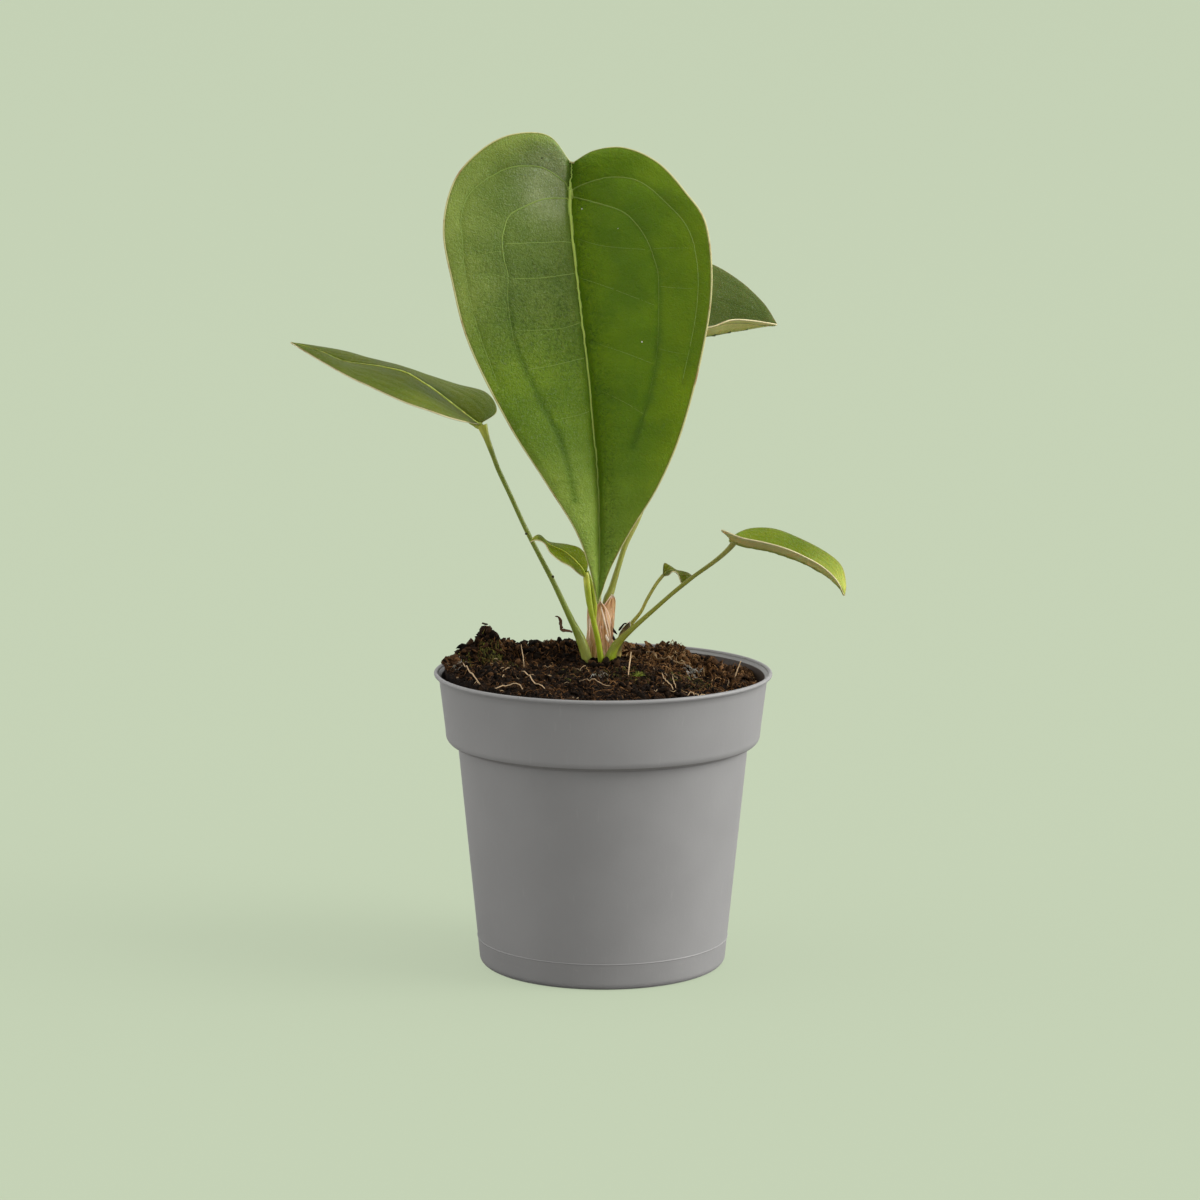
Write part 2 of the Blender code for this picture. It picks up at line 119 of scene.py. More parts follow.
# Clods heaped on the soil: x, y, radius, count, lift, tone
SOIL_CLODS = (
    (-42, 8, 3.4, 90, 4.5, 0.3), (-48, 3, 4.5, 50, 2.0, 0.3), (-34, 12, 5, 50, 2.0, 0.35),
    (-24, 15, 6, 50, 1.6, 0.4), (-12, 17, 6, 40, 1.5, 0.3), (9, 14, 5, 40, 1.6, 0.55),
    (17, 13, 6, 60, 2.2, 0.5), (26, 14, 6, 90, 2.4, 0.45), (35, 8, 6, 60, 2.2, 0.5),
    (44, 8, 6, 60, 2.0, 0.4), (50, 0, 5, 40, 1.8, 0.4), (0, -3.5, 8, 120, 1.8, 0.22),
    (-20, -30, 16, 70, 0.8, 0.25), (22, -32, 14, 70, 0.8, 0.3), (-44, -18, 8, 50, 1.4, 0.25),
    (-53, -4, 5, 110, 1.6, 0.4), (-51, 10, 5, 50, 1.4, 0.35), (0, 34, 16, 80, 1.0, 0.3),
    (-34, 30, 10, 40, 1.0, 0.3), (32, 30, 12, 50, 1.0, 0.3),
)

# The clumps that are loose heaps, and the pale grit among the crumbs
SOIL_HEAPS = SOIL_CLUMPS[:6]
GRIT_SHARE = 0.006
GRIT_TONE = 0.97

# Starts of the random draws of crumbs, fibres and moss
CRUMB_SEED = 11
FIBRE_SEED = 23
MOSS_SEED = 31

# Colours of the crumbs, from tone 0 to 1
PEAT_STOPS = (
    (0.0, (0.003, 0.002, 0.001, 1)), (0.25, (0.012, 0.007, 0.004, 1)),
    (0.5, (0.06, 0.03, 0.013, 1)), (0.8, (0.2, 0.1, 0.04, 1)),
    (0.93, (0.30, 0.17, 0.09, 1)), (1.0, (0.5, 0.45, 0.38, 1)),
)

# Stock: the short upright stem that all the leaf stalks grow from
STOCK_CENTRE = (0.0, -0.4)

# Stock's profile from its foot up: radius and height
STOCK_RINGS = (
    (3.0, 84.2), (5.2, 84.4), (5.8, 92.0), (6.3, 100.0), (6.3, 104.0), (6.0, 106.0),
    (5.4, 107.2), (4.8, 108.0), (4.0, 108.8), (3.0, 109.4), (1.8, 109.8), (0.6, 110.0),
)

# Blades: a midrib from tip to notch and one margin to each side of it, with a
# guide point of each margin for each guide point of the midrib. Both margins start
# and end on the midrib's ends, which are added below. Left and right are those of
# the upper side when the tip points down.
BLADES = {
    "leaf_1_blade": {
        "bulge": 2.0,
        "midrib": (
            (-2, -12, 131), (-1.5, -12, 143), (-1.5, -11, 157), (-2, -9, 173),
            (-3.5, -6.5, 192), (-6.5, -2, 219.5), (-9, 2, 240), (-11.5, 6, 261),
            (-12, 8, 272), (-12, 7.5, 277), (-11.5, 7, 280), (-11.5, 6.5, 282.5),
            (-11.5, 6, 284),
        ),
        "left": (
            (-5, -12.5, 144.5), (-10, -14, 158), (-20.5, -15, 175),
            (-33, -15.5, 195), (-46.5, -13, 222), (-52.5, -11, 244), (-55.5, -9, 262),
            (-52, -4, 278), (-43, 0, 288.5), (-32, 3, 294), (-19.5, 5, 293.5),
        ),
        "right": (
            (2.5, -12.5, 144), (9.5, -14, 157.5), (19, -15.5, 173.5),
            (27, -16, 193), (34, -15, 220.5), (37, -13, 243), (35, -10, 263.5),
            (28, -6, 274.5), (18.5, 0, 284.5), (7, 3, 289.5), (-3.5, 5, 288.5),
        ),
    },
    "leaf_2_blade": {
        "bulge": 1.5,
        "midrib": (
            (62.5, 40, 225.5), (57, 39.5, 225), (51, 39, 224), (44.5, 38.5, 223),
            (38.5, 38, 222), (29, 37.5, 221), (22, 37, 220), (18.5, 36, 219.5),
            (16.5, 35, 219.5),
        ),
        "left": (
            (59, 34, 226.5), (52, 27, 228), (45, 21, 228.5),
            (38, 16, 226.5), (28.5, 14, 225.5), (19, 16, 223.5), (13, 24, 220.5),
        ),
        "right": (
            (59.5, 46, 230.5), (56, 51, 234.5), (49.5, 57, 240),
            (40, 61, 245.5), (28.5, 61, 248.5), (17, 58, 245), (9.5, 48, 233.5),
        ),
    },
    "leaf_3_blade": {
        "bulge": 1.0,
        "midrib": (
            (-110.5, 10, 221), (-100, 9, 218), (-91.5, 8, 214.5), (-80.5, 7, 213),
            (-70.5, 6, 211), (-64, 5, 207.5), (-58, 4, 203.5), (-51, 3, 198),
            (-45, 2, 193.5), (-43.5, 2, 193),
        ),
        "left": (
            (-103, 15, 219.5), (-92, 21, 217), (-82, 26, 213.5),
            (-72.5, 29, 210.5), (-62.5, 30, 207.5), (-52.5, 29, 204.5), (-42, 24, 202),
            (-38, 13, 196.5),
        ),
        "right": (
            (-100.5, 1, 216), (-89, -10, 211), (-81.5, -14, 208),
            (-74, -18, 205), (-67.5, -20, 202.5), (-60, -20, 200), (-53.5, -18, 197.5),
            (-47.5, -14, 195.5),
        ),
    },
    "leaf_4_blade": {
        "bulge": 0.6,
        "midrib": (
            (85.5, 0, 132.5), (83.5, -1, 136), (79, -1, 140), (72.5, -1, 144),
            (66.5, -0.5, 146.5), (58.5, 0, 149), (50.5, 0, 150.5), (46, 0, 152),
            (45, 0, 152.5),
        ),
        "left": (
            (82.5, -3, 138.5), (77, -6, 144), (69.5, -9.5, 148.5),
            (63, -12, 151.5), (55.5, -12, 153.5), (48, -11.5, 155), (41.5, -7, 157),
        ),
        "right": (
            (86, 2, 136.5), (84.5, 5, 142.5), (79, 9, 147),
            (69.5, 13, 151.5), (61, 14, 154.5), (53, 12, 155), (47.5, 6, 154),
        ),
    },
    "leaf_5_blade": {
        "bulge": 0.2,
        "midrib": (
            (31.5, 8, 138.5), (29.5, 6, 139), (27.5, 5, 139), (26, 5, 140.3),
            (24, 5, 141), (22, 5, 140), (21, 5, 138.5),
        ),
        "left": (
            (30, 4, 137.5), (28, 2, 136.3), (26.5, 3, 139.8),
            (24.5, 2, 140.8), (23, 2, 139.5),
        ),
        "right": (
            (30, 8, 139.5), (28, 8.5, 140), (26, 8, 140.5),
            (23.5, 9, 142), (21.5, 8.5, 142.6),
        ),
    },
    "leaf_6_blade": {
        "bulge": 0.3,
        "midrib": (
            (-26, -8, 152.5), (-23.5, -8, 154), (-21, -8.5, 153.5), (-18.5, -9, 151.5),
            (-14, -9, 149.5), (-10.5, -8, 146.5), (-7.5, -7, 143), (-6, -6, 139.5),
        ),
        "left": (
            (-24, -6, 154.5), (-22, -4.5, 154.5), (-19, -3, 152),
            (-12.5, -2.5, 151), (-8, -3, 149.5), (-5.5, -4, 145.5),
        ),
        "right": (
            (-23.5, -9.5, 153.5), (-20.5, -11, 152.5), (-18.5, -13, 149.5),
            (-15, -13, 146.5), (-11.5, -12, 144.5), (-8.5, -9.5, 141.5),
        ),
    },
}
for leaf in BLADES.values():
    for side in ("left", "right"):
        leaf[side] = (leaf["midrib"][0], *leaf[side], leaf["midrib"][-1])

# Side veins of the big leaf: radius, points near its upper side, and how much painted
# shade lies along each at its start and end
BIG_LEAF_VEINS = {
    "outer_left": (0.2, (
        (-12.6, 7.2, 275), (-14.1, 6.9, 277.5), (-20.7, 3.7, 282.1), (-27.3, 1.8, 283.2),
        (-34.2, 0.3, 282.2), (-41.8, -2.2, 278.1), (-47.3, -4.5, 273.0), (-49.6, -6.9, 265.9),
        (-49.3, -8.0, 257), (-48, -9.5, 245), (-44, -11.5, 228), (-37, -13.5, 209),
    ), (0.0, 0.3)),
    "inner_left": (0.24, (
        (-12, 7.9, 271.5), (-14.1, 6.8, 271.8), (-20.7, 3.7, 271.7), (-27.3, 0.5, 269.4),
        (-32.8, -2.3, 266.4), (-34.8, -3.9, 261.6), (-35.5, -5.0, 257.2), (-34.8, -5.8, 251),
        (-33.4, -6.6, 245.9), (-33.4, -8.2, 236.9), (-32.0, -9.7, 227.0), (-30.6, -10.6, 220.5),
        (-27.4, -11.2, 213.9), (-21.5, -12.4, 201.2), (-15.2, -12.9, 189.0), (-10.0, -14.0, 168.2),
    ), (-0.5, 1.0)),
    "inner_right": (0.24, (
        (-12, 7.9, 272), (-11.0, 7.4, 272.2), (-4.0, 3.6, 270.7), (5.8, -1.0, 267.8),
        (11.3, -3.8, 263.1), (15.1, -5.8, 257.3), (17.2, -7.2, 251.6), (18.6, -8.4, 246.1),
        (18.9, -9.9, 234.1), (18.4, -11.6, 220.4), (16.0, -12.8, 206.5), (10, -14, 187),
    ), (-0.1, 0.8)),
    "outer_right": (0.2, (
        (-12, 7.6, 273.5), (-10.0, 7.4, 275.4), (-4.0, 3.9, 278.0), (2.6, 1.8, 279.4),
        (9.9, -0.3, 278.8), (15.8, -2.8, 275.8), (22.4, -6.0, 269.8), (27.5, -8.2, 264.4),
        (31.0, -9.4, 257.0), (32.5, -11, 246), (31.5, -13, 231), (27, -15, 209),
    ), (0.0, 0.2)),
    "left_1": (0.15, (
        (-11, 4.6, 256.6), (-14.1, 3.7, 256.8), (-24.8, -1.3, 256.7), (-35.2, -5.1, 256.5),
    ), (0.2, 0.0)),
    "left_2": (0.16, (
        (-9.6, 3, 246), (-11.6, 2.2, 245.7), (-22.4, -3.0, 244.6), (-32.7, -6.7, 244.5),
    ), (0.2, 0.0)),
    "left_3": (0.12, (
        (-8, -0.2, 229), (-14.0, -3.5, 227.3), (-21.3, -6.5, 226.8), (-31.5, -9.6, 226.6),
    ), (0.2, 0.0)),
    "left_4": (0.13, (
        (-6, -3, 217), (-11.2, -5.0, 215.9), (-18.8, -8.5, 214.4), (-27.1, -11.3, 213.3),
    ), (0.2, 0.0)),
    "left_5": (0.1, (
        (-4.4, -5.6, 198.5), (-10, -8.6, 197), (-18.4, -12.2, 195.6),
    ), (0.2, 0.0)),
    "right_1": (0.13, (
        (-10.6, 4.6, 258.5), (-8.1, 3.9, 257.5), (-0.1, -0.3, 255.6), (15.6, -6.2, 254.6),
    ), (1.0, -0.5)),
    "right_2": (0.14, (
        (-9.4, 2.6, 245.5), (-8.1, 2.1, 244.3), (2.0, -3.1, 241.2), (18.4, -9.6, 235.4),
    ), (1.0, -0.5)),
    "right_3": (0.13, (
        (-6, -2.8, 223), (-0.7, -4.5, 221.4), (8.3, -8.8, 218.7), (17.3, -12.1, 215.5),
    ), (1.0, -0.5)),
    "right_4": (0.13, (
        (-4.4, -5.2, 207.5), (-0.7, -6.4, 205.5), (7.0, -10.4, 202.1), (14.3, -13.4, 197.9),
    ), (1.0, -0.5)),
    "edge_left_1": (0.1, (
        (-35.9, -4.2, 261.6), (-41.4, -5.2, 265.1), (-46.2, -5.5, 268.2),
    ), (0.1, 0.1)),
    "edge_left_2": (0.1, (
        (-35.4, -5.8, 254.1), (-40.3, -7.1, 253.5), (-48.6, -8.4, 251.0),
    ), (0.1, 0.1)),
    "edge_left_3": (0.1, (
        (-33.5, -6.9, 244.5), (-39.6, -8.2, 246.3), (-48.2, -9.3, 245.4),
    ), (0.1, 0.1)),
    "edge_left_4": (0.08, (
        (-33.2, -8.6, 234), (-39.6, -10.2, 235), (-46.2, -11.3, 233.4),
    ), (0.1, 0.1)),
    "edge_right_1": (0.1, (
        (17, -6.3, 255.0), (21.4, -7.9, 255.4), (30.6, -9.5, 255.5),
    ), (0.1, 0.1)),
    "edge_right_2": (0.1, (
        (18.8, -9.0, 242.3), (24.5, -10.6, 241.8), (31.9, -11.8, 241.5),
    ), (0.1, 0.1)),
    "edge_right_3": (0.08, (
        (18.6, -11.6, 221), (23.5, -13.2, 219.8), (29.6, -14.4, 219),
    ), (0.1, 0.1)),
}

# Big leaf's midrib: its radius at shares of its length
BIG_LEAF_MIDRIB = (
    (0, 0.1), (0.15, 0.2), (0.33, 0.32), (0.5, 0.42), (0.62, 0.54), (0.68, 0.75),
    (0.72, 0.5), (0.78, 0.24), (1, 0.14),
)

# Big leaf's colours as read from a screen, with light painted in: its left half greyed by
# painted sheen, its right half saturated by painted light shining through and the outer right
# yellower with it, the lower left where the painted sheen is weaker, the left edge lighter
# with painted sheen, and the painted sheen by the notch
BIG_LEAF_PAINTED_TINTS = {
    "left": (90, 112, 40),
    "right": (90, 122, 0),
    "outer_right": (96, 123, 1),
    "low_left": (92, 121, 8),
    "sheen_left_edge": (126, 146, 62),
    "painted_sheen_haze": (160, 170, 128),
}

# Middles of the big leaf's painted sheen by the notch and of its strongest wrinkles
PAINTED_SHEEN_MIDDLE = (-17, 4, 277)
WRINKLE_MIDDLE = (-17, -3, 232)

# Specks on the big leaf: place, size and tone
LEAF_SPECKS = (
    ((-7.8, 5.2, 268.2), 0.3, 1.0), ((13.2, -10, 223), 0.32, 1.0), ((-21.8, 3.1, 285.9), 0.3, 0.0),
    ((4, -4, 262), 0.2, 0.8), ((-30, -6, 238), 0.16, 0.7), ((9, -9, 212), 0.16, 0.7),
)

# The five smaller leaves. Midrib is its radius at the tip and at the notch, wall a
# share of the blade's thickness, and tip a lighter colour towards the tip, with where
# along the blade it starts, where it is full, and how strong it is.
SMALL_LEAVES = {
    "leaf_2": {
        "slot": "old_leaf_olive", "grid": (90, 90), "vein_size": 0.9, "wall": 1,
        "upper": (82, 96, 44), "under": (198, 206, 122), "rib": (122, 138, 88),
        "midrib": (0.2, 0.5), "relief": 0.35, "trim": 0.2, "through": 0.3,
    },
    "leaf_3": {
        "slot": "old_leaf_olive", "grid": (90, 120), "vein_size": 0.9, "wall": 1,
        "upper": (86, 100, 22), "under": (150, 150, 96), "rib": (200, 212, 96),
        "midrib": (0.3, 0.6), "relief": 0.3, "trim": 0.2, "through": 0.1,
    },
    "leaf_4": {
        "slot": "young_leaf_green", "grid": (60, 90), "vein_size": 0.5, "wall": 1,
        "upper": (98, 116, 18), "under": (192, 190, 112), "rib": (160, 168, 76),
        "midrib": (0.15, 0.32), "relief": 0.2, "trim": 0.14, "through": 0.2,
        "tip": ((178, 186, 88), 0.5, 0.1, 1.0),
    },
    "leaf_5": {
        "slot": "folded_leaf_olive", "grid": (32, 40), "vein_size": 0.3, "wall": 0.7,
        "upper": (90, 98, 12), "under": (204, 180, 126), "rib": (136, 136, 60),
        "midrib": (0.1, 0.2), "relief": 0.1, "trim": 0.12, "through": 0.2,
    },
    "leaf_6": {
        "slot": "young_leaf_green", "grid": (40, 60), "vein_size": 0.4, "wall": 0.7,
        "upper": (92, 108, 0), "under": (150, 158, 20), "rib": (170, 180, 40),
        "midrib": (0.14, 0.34), "relief": 0.15, "trim": 0.14, "through": 0.1,
        "tip": ((190, 196, 70), 0.25, 0.05, 0.9),
    },
}

# Long veins of the smaller leaves: share of the way out, and radius
VEIN_ARCS = ((0.24, 0.07), (0.47, 0.12), (0.66, 0.08), (0.84, 0.1))
MARGINS = ("left", "right")

# Stalks: the route up from the stock as x, y, z, radius, and the colour of its
# foot, middle and top
STALKS = {
    "leaf_1_petiole": {
        "route": (
            (-1.2, 2.7, 107.0, 1.6), (-1.4, 3.2, 112, 1.5), (-2, 5.5, 130, 1.25),
            (-2.5, 9, 151, 1.15), (-4, 14, 182.5, 1.1), (-7, 18, 218, 1.05),
            (-10, 19.5, 249.5, 1.05), (-11.6, 16.5, 265.5, 1.2), (-12, 12.4, 271, 1.4),
            (-12, 8.2, 272.3, 1.5),
        ),
        "tones": ((172, 160, 86), (140, 156, 54), (132, 152, 50)),
    },
    "leaf_2_petiole": {
        "route": (
            (0.8, 3.4, 107.0, 1.8), (0.8, 4.1, 112, 2.0), (0.9, 5.6, 121, 2.0), (1.5, 7.4, 129, 1.75),
            (3.0, 8.8, 133.5, 1.25), (5.3, 10.6, 141, 1.0), (8, 13, 149, 0.95), (12.5, 17, 158, 0.95),
            (16.5, 22, 169, 0.95), (20, 28, 184.5, 0.95), (20.5, 32, 200.5, 1.0),
            (19, 34.5, 214, 1.15), (17.6, 35.4, 219.4, 1.5),
        ),
        "tones": ((176, 128, 92), (142, 146, 52), (136, 152, 60)),
    },
    "leaf_3_petiole": {
        "route": (
            (-4.4, -2.2, 106.5, 2.0), (-5.8, -2.2, 110.4, 1.8), (-6.9, -2.2, 114, 1.8),
            (-8.0, -2.2, 117, 1.72), (-9.6, -2.1, 120.4, 1.4), (-11.4, -2, 124, 1.12),
            (-17.8, -1, 137.5, 0.92), (-27, 1, 155, 0.82), (-32.5, 1, 167, 0.8),
            (-36.9, 1, 176.5, 0.82), (-38.8, 1, 181.5, 0.84), (-40.5, 1.1, 186, 0.95),
            (-41.7, 1.3, 189.5, 1.3), (-42.8, 1.6, 192.6, 1.85),
        ),
        "tones": ((168, 172, 80), (120, 136, 32), (184, 190, 70)),
    },
    "leaf_4_petiole": {
        "route": (
            (1.0, -3.7, 106.5, 2.0), (2.6, -4, 111.2, 1.8), (4.2, -4, 114.8, 1.55),
            (6.6, -4, 117.7, 1.25), (10, -4, 120.9, 0.95), (17.5, -3, 127.5, 0.78),
            (28.5, -2, 137, 0.7), (39.5, -1, 145, 0.78), (44.3, -0.3, 149.2, 0.95),
            (46.4, 0, 151.9, 1.15),
        ),
        "tones": ((140, 160, 18), (128, 132, 34), (166, 162, 78)),
    },
    "leaf_5_petiole": {
        "route": (
            (3.6, -0.9, 107.0, 0.9), (4.5, -0.6, 112, 0.9), (6.4, 0.2, 117, 0.85),
            (9.4, 1.3, 121.4, 0.75), (13.2, 2, 126, 0.6), (15.5, 3, 130.5, 0.58),
            (18.5, 4, 135.5, 0.6), (20.6, 4.8, 138.2, 0.62), (21.3, 5, 139.0, 0.6),
        ),
        "tones": ((104, 96, 34), (160, 158, 62), (158, 158, 76)),
    },
    "leaf_6_petiole": {
        "route": (
            (-0.4, -5.0, 106.5, 1.1), (-0.9, -5.4, 111, 1.08), (-1.9, -6.4, 117.5, 1.0),
            (-2.9, -7.0, 122, 0.92), (-4.0, -7.4, 127, 1.05), (-4.9, -7.3, 131.5, 1.2),
            (-5.5, -6.9, 136, 1.25), (-5.9, -6.3, 139.6, 1.2), (-6.1, -6.0, 141.4, 0.9),
        ),
        "tones": ((128, 142, 22), (156, 172, 22), (222, 222, 84)),
    },
}

# The free flange of the youngest leaf beside its stalk, as x, y, z, radius
YOUNG_FLANGE = (
    (-5.6, -6.0, 142.0, 0.5), (-4.4, -6.5, 138.6, 0.62), (-3.5, -7.0, 135.2, 0.75),
    (-3.0, -7.4, 131.6, 0.75), (-2.9, -7.5, 128.2, 0.7), (-3.0, -7.4, 125.0, 0.55),
    (-2.9, -7.2, 122.5, 0.4),
)

# Dark knots on the third leaf's stalk: share of its length, and side and slant
STALK_KNOTS = ((0.47, 1.1), (0.535, -0.8), (0.33, 0.9))

# Sheaths: each an arc about an upright axis, from its foot to its point, with the
# side it faces in degrees
SHEATHS = {
    "cataphyll_front": {
        "axis": (-1.5, 2.7), "radius": 4.9, "facing": -96, "half_arc": 80,
        "foot": 107.2, "point": 130.6, "lean": (0.9, 0.9), "blunt": 4.0,
    },
    "cataphyll_left": {
        "axis": (-1.5, 3.0), "radius": 4.9, "facing": 196, "half_arc": 62,
        "foot": 107.2, "point": 130.4, "lean": (0.7, 0.5), "blunt": 3.0,
    },
    "cataphyll_right": {
        "axis": (-0.7, 3.4), "radius": 4.3, "facing": -50, "half_arc": 84,
        "foot": 107.2, "point": 132.2, "lean": (1.5, 3.0), "blunt": 4.5,
    },
}

# Folded edges on the front of the sheaths and, third, a painted highlight, a small white spot: radius, tone
# and route
SHEATH_FOLDS_AND_HIGHLIGHT = (
    (0.32, 0.85, ((-0.9, -2.6, 129.2), (0.0, -2.5, 125.5), (1.0, -2.2, 121.5), (2.5, -1.4, 115.6))),
    (0.26, 0.7, ((0.6, -2.2, 128.4), (1.2, -2.1, 124.5), (2.2, -1.6, 120.0), (3.0, -0.9, 115.0))),
    # A painted highlight: a small white spot on the front sheath
    (0.45, 1.0, ((0.9, -2.4, 118.8), (1.4, -2.3, 117.2), (2.0, -2.0, 115.8))),
    (0.3, 0.3, ((-1.4, -2.6, 124.0), (-0.9, -2.6, 119.0), (0.0, -2.5, 112.5))),
    (0.28, 0.75, ((-4.6, -2.0, 126.0), (-4.9, -1.8, 121.0), (-5.1, -1.6, 116.5))),
    (0.3, 0.25, ((3.0, 0.2, 124.6), (3.1, 0.0, 120.0), (3.0, -0.6, 115.0))),
)
SHEATH_WALL = 0.22

# The dry bract at the foot of the smallest leaf's stalk
BRACT = {
    "axis": (4.9, 0.0), "radius": 1.5, "facing": -95, "half_arc": 115,
    "foot": 110.5, "point": 123.0, "lean": (4.6, 1.1), "blunt": 3.0,
}

# Dried bits beside the crown: half width, tone, and their routes
DRY_BITS = (
    (0.62, 0.42, (
        (-10.8, -2.4, 119.4), (-11.8, -2.2, 119.9), (-13.4, -2.0, 120.1), (-14.8, -2.0, 120.4),
        (-15.0, -1.8, 122.0), (-15.1, -2.0, 123.6), (-15.9, -2.3, 125.0), (-17.2, -2.2, 125.2),
    )),
    (0.45, 0.36, ((-14.2, -2.2, 121.0), (-15.2, -2.6, 122.4), (-15.4, -2.4, 123.4))),
    (0.5, 0.08, ((2.6, 1.4, 121.8), (3.3, 1.0, 120.4), (4.1, 0.8, 119.2), (5.0, 0.8, 118.2))),
    (0.55, 0.05, ((3.0, 0.9, 118.6), (3.5, 0.6, 117.4), (4.2, 0.4, 116.2), (5.2, 0.6, 115.2))),
    (0.5, 0.12, ((5.4, 0.6, 119.6), (6.6, 0.4, 121.2), (7.6, 0.6, 122.2), (9.0, 0.8, 122.0))),
    (0.4, 0.2, ((-11.2, -1.2, 116.9), (-10.4, -1.6, 116.0), (-9.8, -2.0, 114.6))),
)

# Colours of the dried bits, from tone 0 to 1
DRIED_STOPS = (
    (0.0, (0.012, 0.009, 0.007, 1)), (0.25, (0.05, 0.03, 0.02, 1)),
    (0.5, (0.16, 0.075, 0.04, 1)), (1.0, (0.3, 0.17, 0.09, 1)),
)

# Straws: radius, tone, and points as x, y and height over the soil
STRAWS = (
    (0.26, 0.9, ((-29.0, -9, 8.6), (-28.2, -10.5, 4.2), (-27.6, -11.3, -0.6))),
    (0.36, 0.72, ((-49.5, -10.5, 2.0), (-46.0, -24, 1.4), (-42.0, -37, 0.2))),
    (0.30, 0.85, ((-37.5, -42, 0.1), (-34.5, -40, 1.8), (-31, -40.2, 2.2), (-26, -42, 0.5))),
    (0.28, 0.95, ((-28.6, -22, 2.0), (-24.6, -31, 1.4), (-17.0, -44.5, 0.0))),
    (0.32, 1.0, ((9.9, -11, 6.4), (9.2, -15, 3.0), (8.6, -19, -0.6))),
    (0.26, 0.88, ((20.4, -20, 2.6), (22.6, -25, 1.6), (25.2, -31, -0.2))),
    (0.22, 0.95, ((24.2, -19, 2.4), (24.9, -23, 1.2), (25.4, -27, -0.2))),
    (0.24, 1.0, ((29, -31, 0.4), (30.5, -29, 1.6), (32, -30.5, 1.9), (33.6, -33, 0.8))),
    (0.24, 0.95, ((33, -33.5, 0.2), (34.2, -31, 1.7), (36, -31.5, 1.6), (37, -34, 0.3))),
    (0.34, 0.95, ((46.4, 1, -0.4), (47.6, 2, 3.0), (49.2, 3, 6.6))),
    (0.22, 0.7, ((14, 10, 0.6), (22, 5, 1.6), (30, 3, 0.4))),
    (0.22, 0.7, ((-12, 22, 0.3), (-18, 28, 1.5), (-25, 31, 0.3))),
    (0.26, 0.8, ((18, 36, 0.3), (26, 31, 1.3), (31, 22, 0.3))),
    (0.24, 0.75, ((-46, 22, 0.4), (-40, 30, 1.6), (-33, 35, 0.2))),
    (0.2, 0.85, ((-8, -30, 0.2), (-3, -33, 1.3), (3, -33.5, 0.3))),
)
SHORT_STRAWS = 60

# Coir mats: x, y, radius, count, length, lift and tone of their fibres
COIR_MATS = (
    (-42, 8, 5.5, 150, 5, 2.4, 0.32), (-48, 3, 5, 90, 5, 2.4, 0.32),
    (-43, 7, 2.6, 60, 4, 4.0, 0.4), (-34, 12, 6, 90, 6, 2.0, 0.42),
    (-24, 15, 6, 90, 7, 1.6, 0.45), (-12, 16, 7, 90, 7, 1.4, 0.5),
    (-40, -8, 8, 100, 6, 1.6, 0.36), (-30, -4, 6, 60, 6, 1.5, 0.4),
    (14, 12, 7, 190, 7, 2.0, 0.74), (25, 13, 6, 210, 7, 3.0, 0.7),
    (33, 9, 6, 150, 6, 2.4, 0.64), (40, 6, 6, 120, 6, 2.2, 0.55),
    (21, 2, 8, 130, 6, 1.4, 0.6), (47, 6, 5, 110, 6, 2.6, 0.55),
    (10, 22, 9, 100, 7, 1.4, 0.5), (-4, 30, 14, 120, 7, 1.2, 0.45),
    (30, -8, 9, 80, 5, 1.2, 0.5), (44, -12, 7, 70, 5, 1.3, 0.5),
    (34, -28, 7, 80, 4, 1.2, 0.6), (2, -24, 12, 70, 5, 1.0, 0.45),
)

# Colours of the coir, from tone 0 to 1
COIR_STOPS = (
    (0.0, (0.008, 0.005, 0.003, 1)), (0.3, (0.045, 0.022, 0.010, 1)),
    (0.55, (0.17, 0.078, 0.026, 1)), (0.78, (0.36, 0.20, 0.08, 1)),
    (1.0, (0.62, 0.46, 0.25, 1)),
)

# Moss star on the soil: its place and the length of its leaves
MOSS_STAR = (12.4, -21.4, 3.0)

# Rings of the moss star from the lowest: leaves, rise and share of the full length
MOSS_STAR_RINGS = ((13, 0.35, 1.0), (10, 0.8, 0.85), (7, 1.3, 0.6))

# Mossy patches: x, y, radius, count of strands and tone
MOSS_PATCHES = (
    (-41, 3, 5, 260, 0.45), (-44, 8, 3.5, 120, 0.55), (-36, -4, 6, 130, 0.35),
    (-49, -2, 3, 90, 0.6), (8, -20, 9, 120, 0.3), (30, -14, 9, 120, 0.3), (-8, -20, 8, 60, 0.25),
)

# Pale tufts: x, y, count of threads and tone
PALE_TUFTS = (
    (32, 1, 90, 0.75), (-51, -6, 70, 0.6), (-2, -22, 24, 0.6), (34, -31, 40, 0.8),
)

# Colours of the moss and of the pale tufts, by tone
MOSS_STOPS = (
    (0.0, (0.016, 0.016, 0.006, 1)), (0.35, (0.06, 0.06, 0.014, 1)),
    (0.6, (0.17, 0.16, 0.035, 1)), (1.0, (0.25, 0.33, 0.04, 1)),
)
TUFT_STOPS = (
    (0.2, (0.06, 0.045, 0.03, 1)), (0.6, (0.3, 0.27, 0.2, 1)), (1.0, (0.62, 0.62, 0.58, 1)),
)

# Stage: the backdrop in metres, the way to the key light and its spread, and the camera
FLOOR_SIZE = 16
BACKDROP_HEIGHT = 8
KEY_SIDE = (0.86, -0.18, 0.55)
KEY_SPREAD = math.radians(34)
CAMERA_PLACE = (-1.18, -1238.8, 324.5)
CAMERA_TILT = math.radians(81.11)
CAMERA_ROLL = math.radians(0.146)
LENS = 106.28
SENSOR_WIDTH = 36


class PotLooks(bpy.types.PropertyGroup):
    wall: FloatProperty(
        name="Wall", description="Thickness of the pot's wall", default=1.2 * MM,
        min=0.5 * MM, unit="LENGTH",
    )
    segments: IntProperty(
        name="Segments", description="Steps round the pot", default=144, min=24,
    )
    plastic: FloatVectorProperty(
        name="Plastic", description="Colour of the grey plastic", subtype="COLOR",
        default=(0.245, 0.243, 0.24), min=0, max=1,
    )


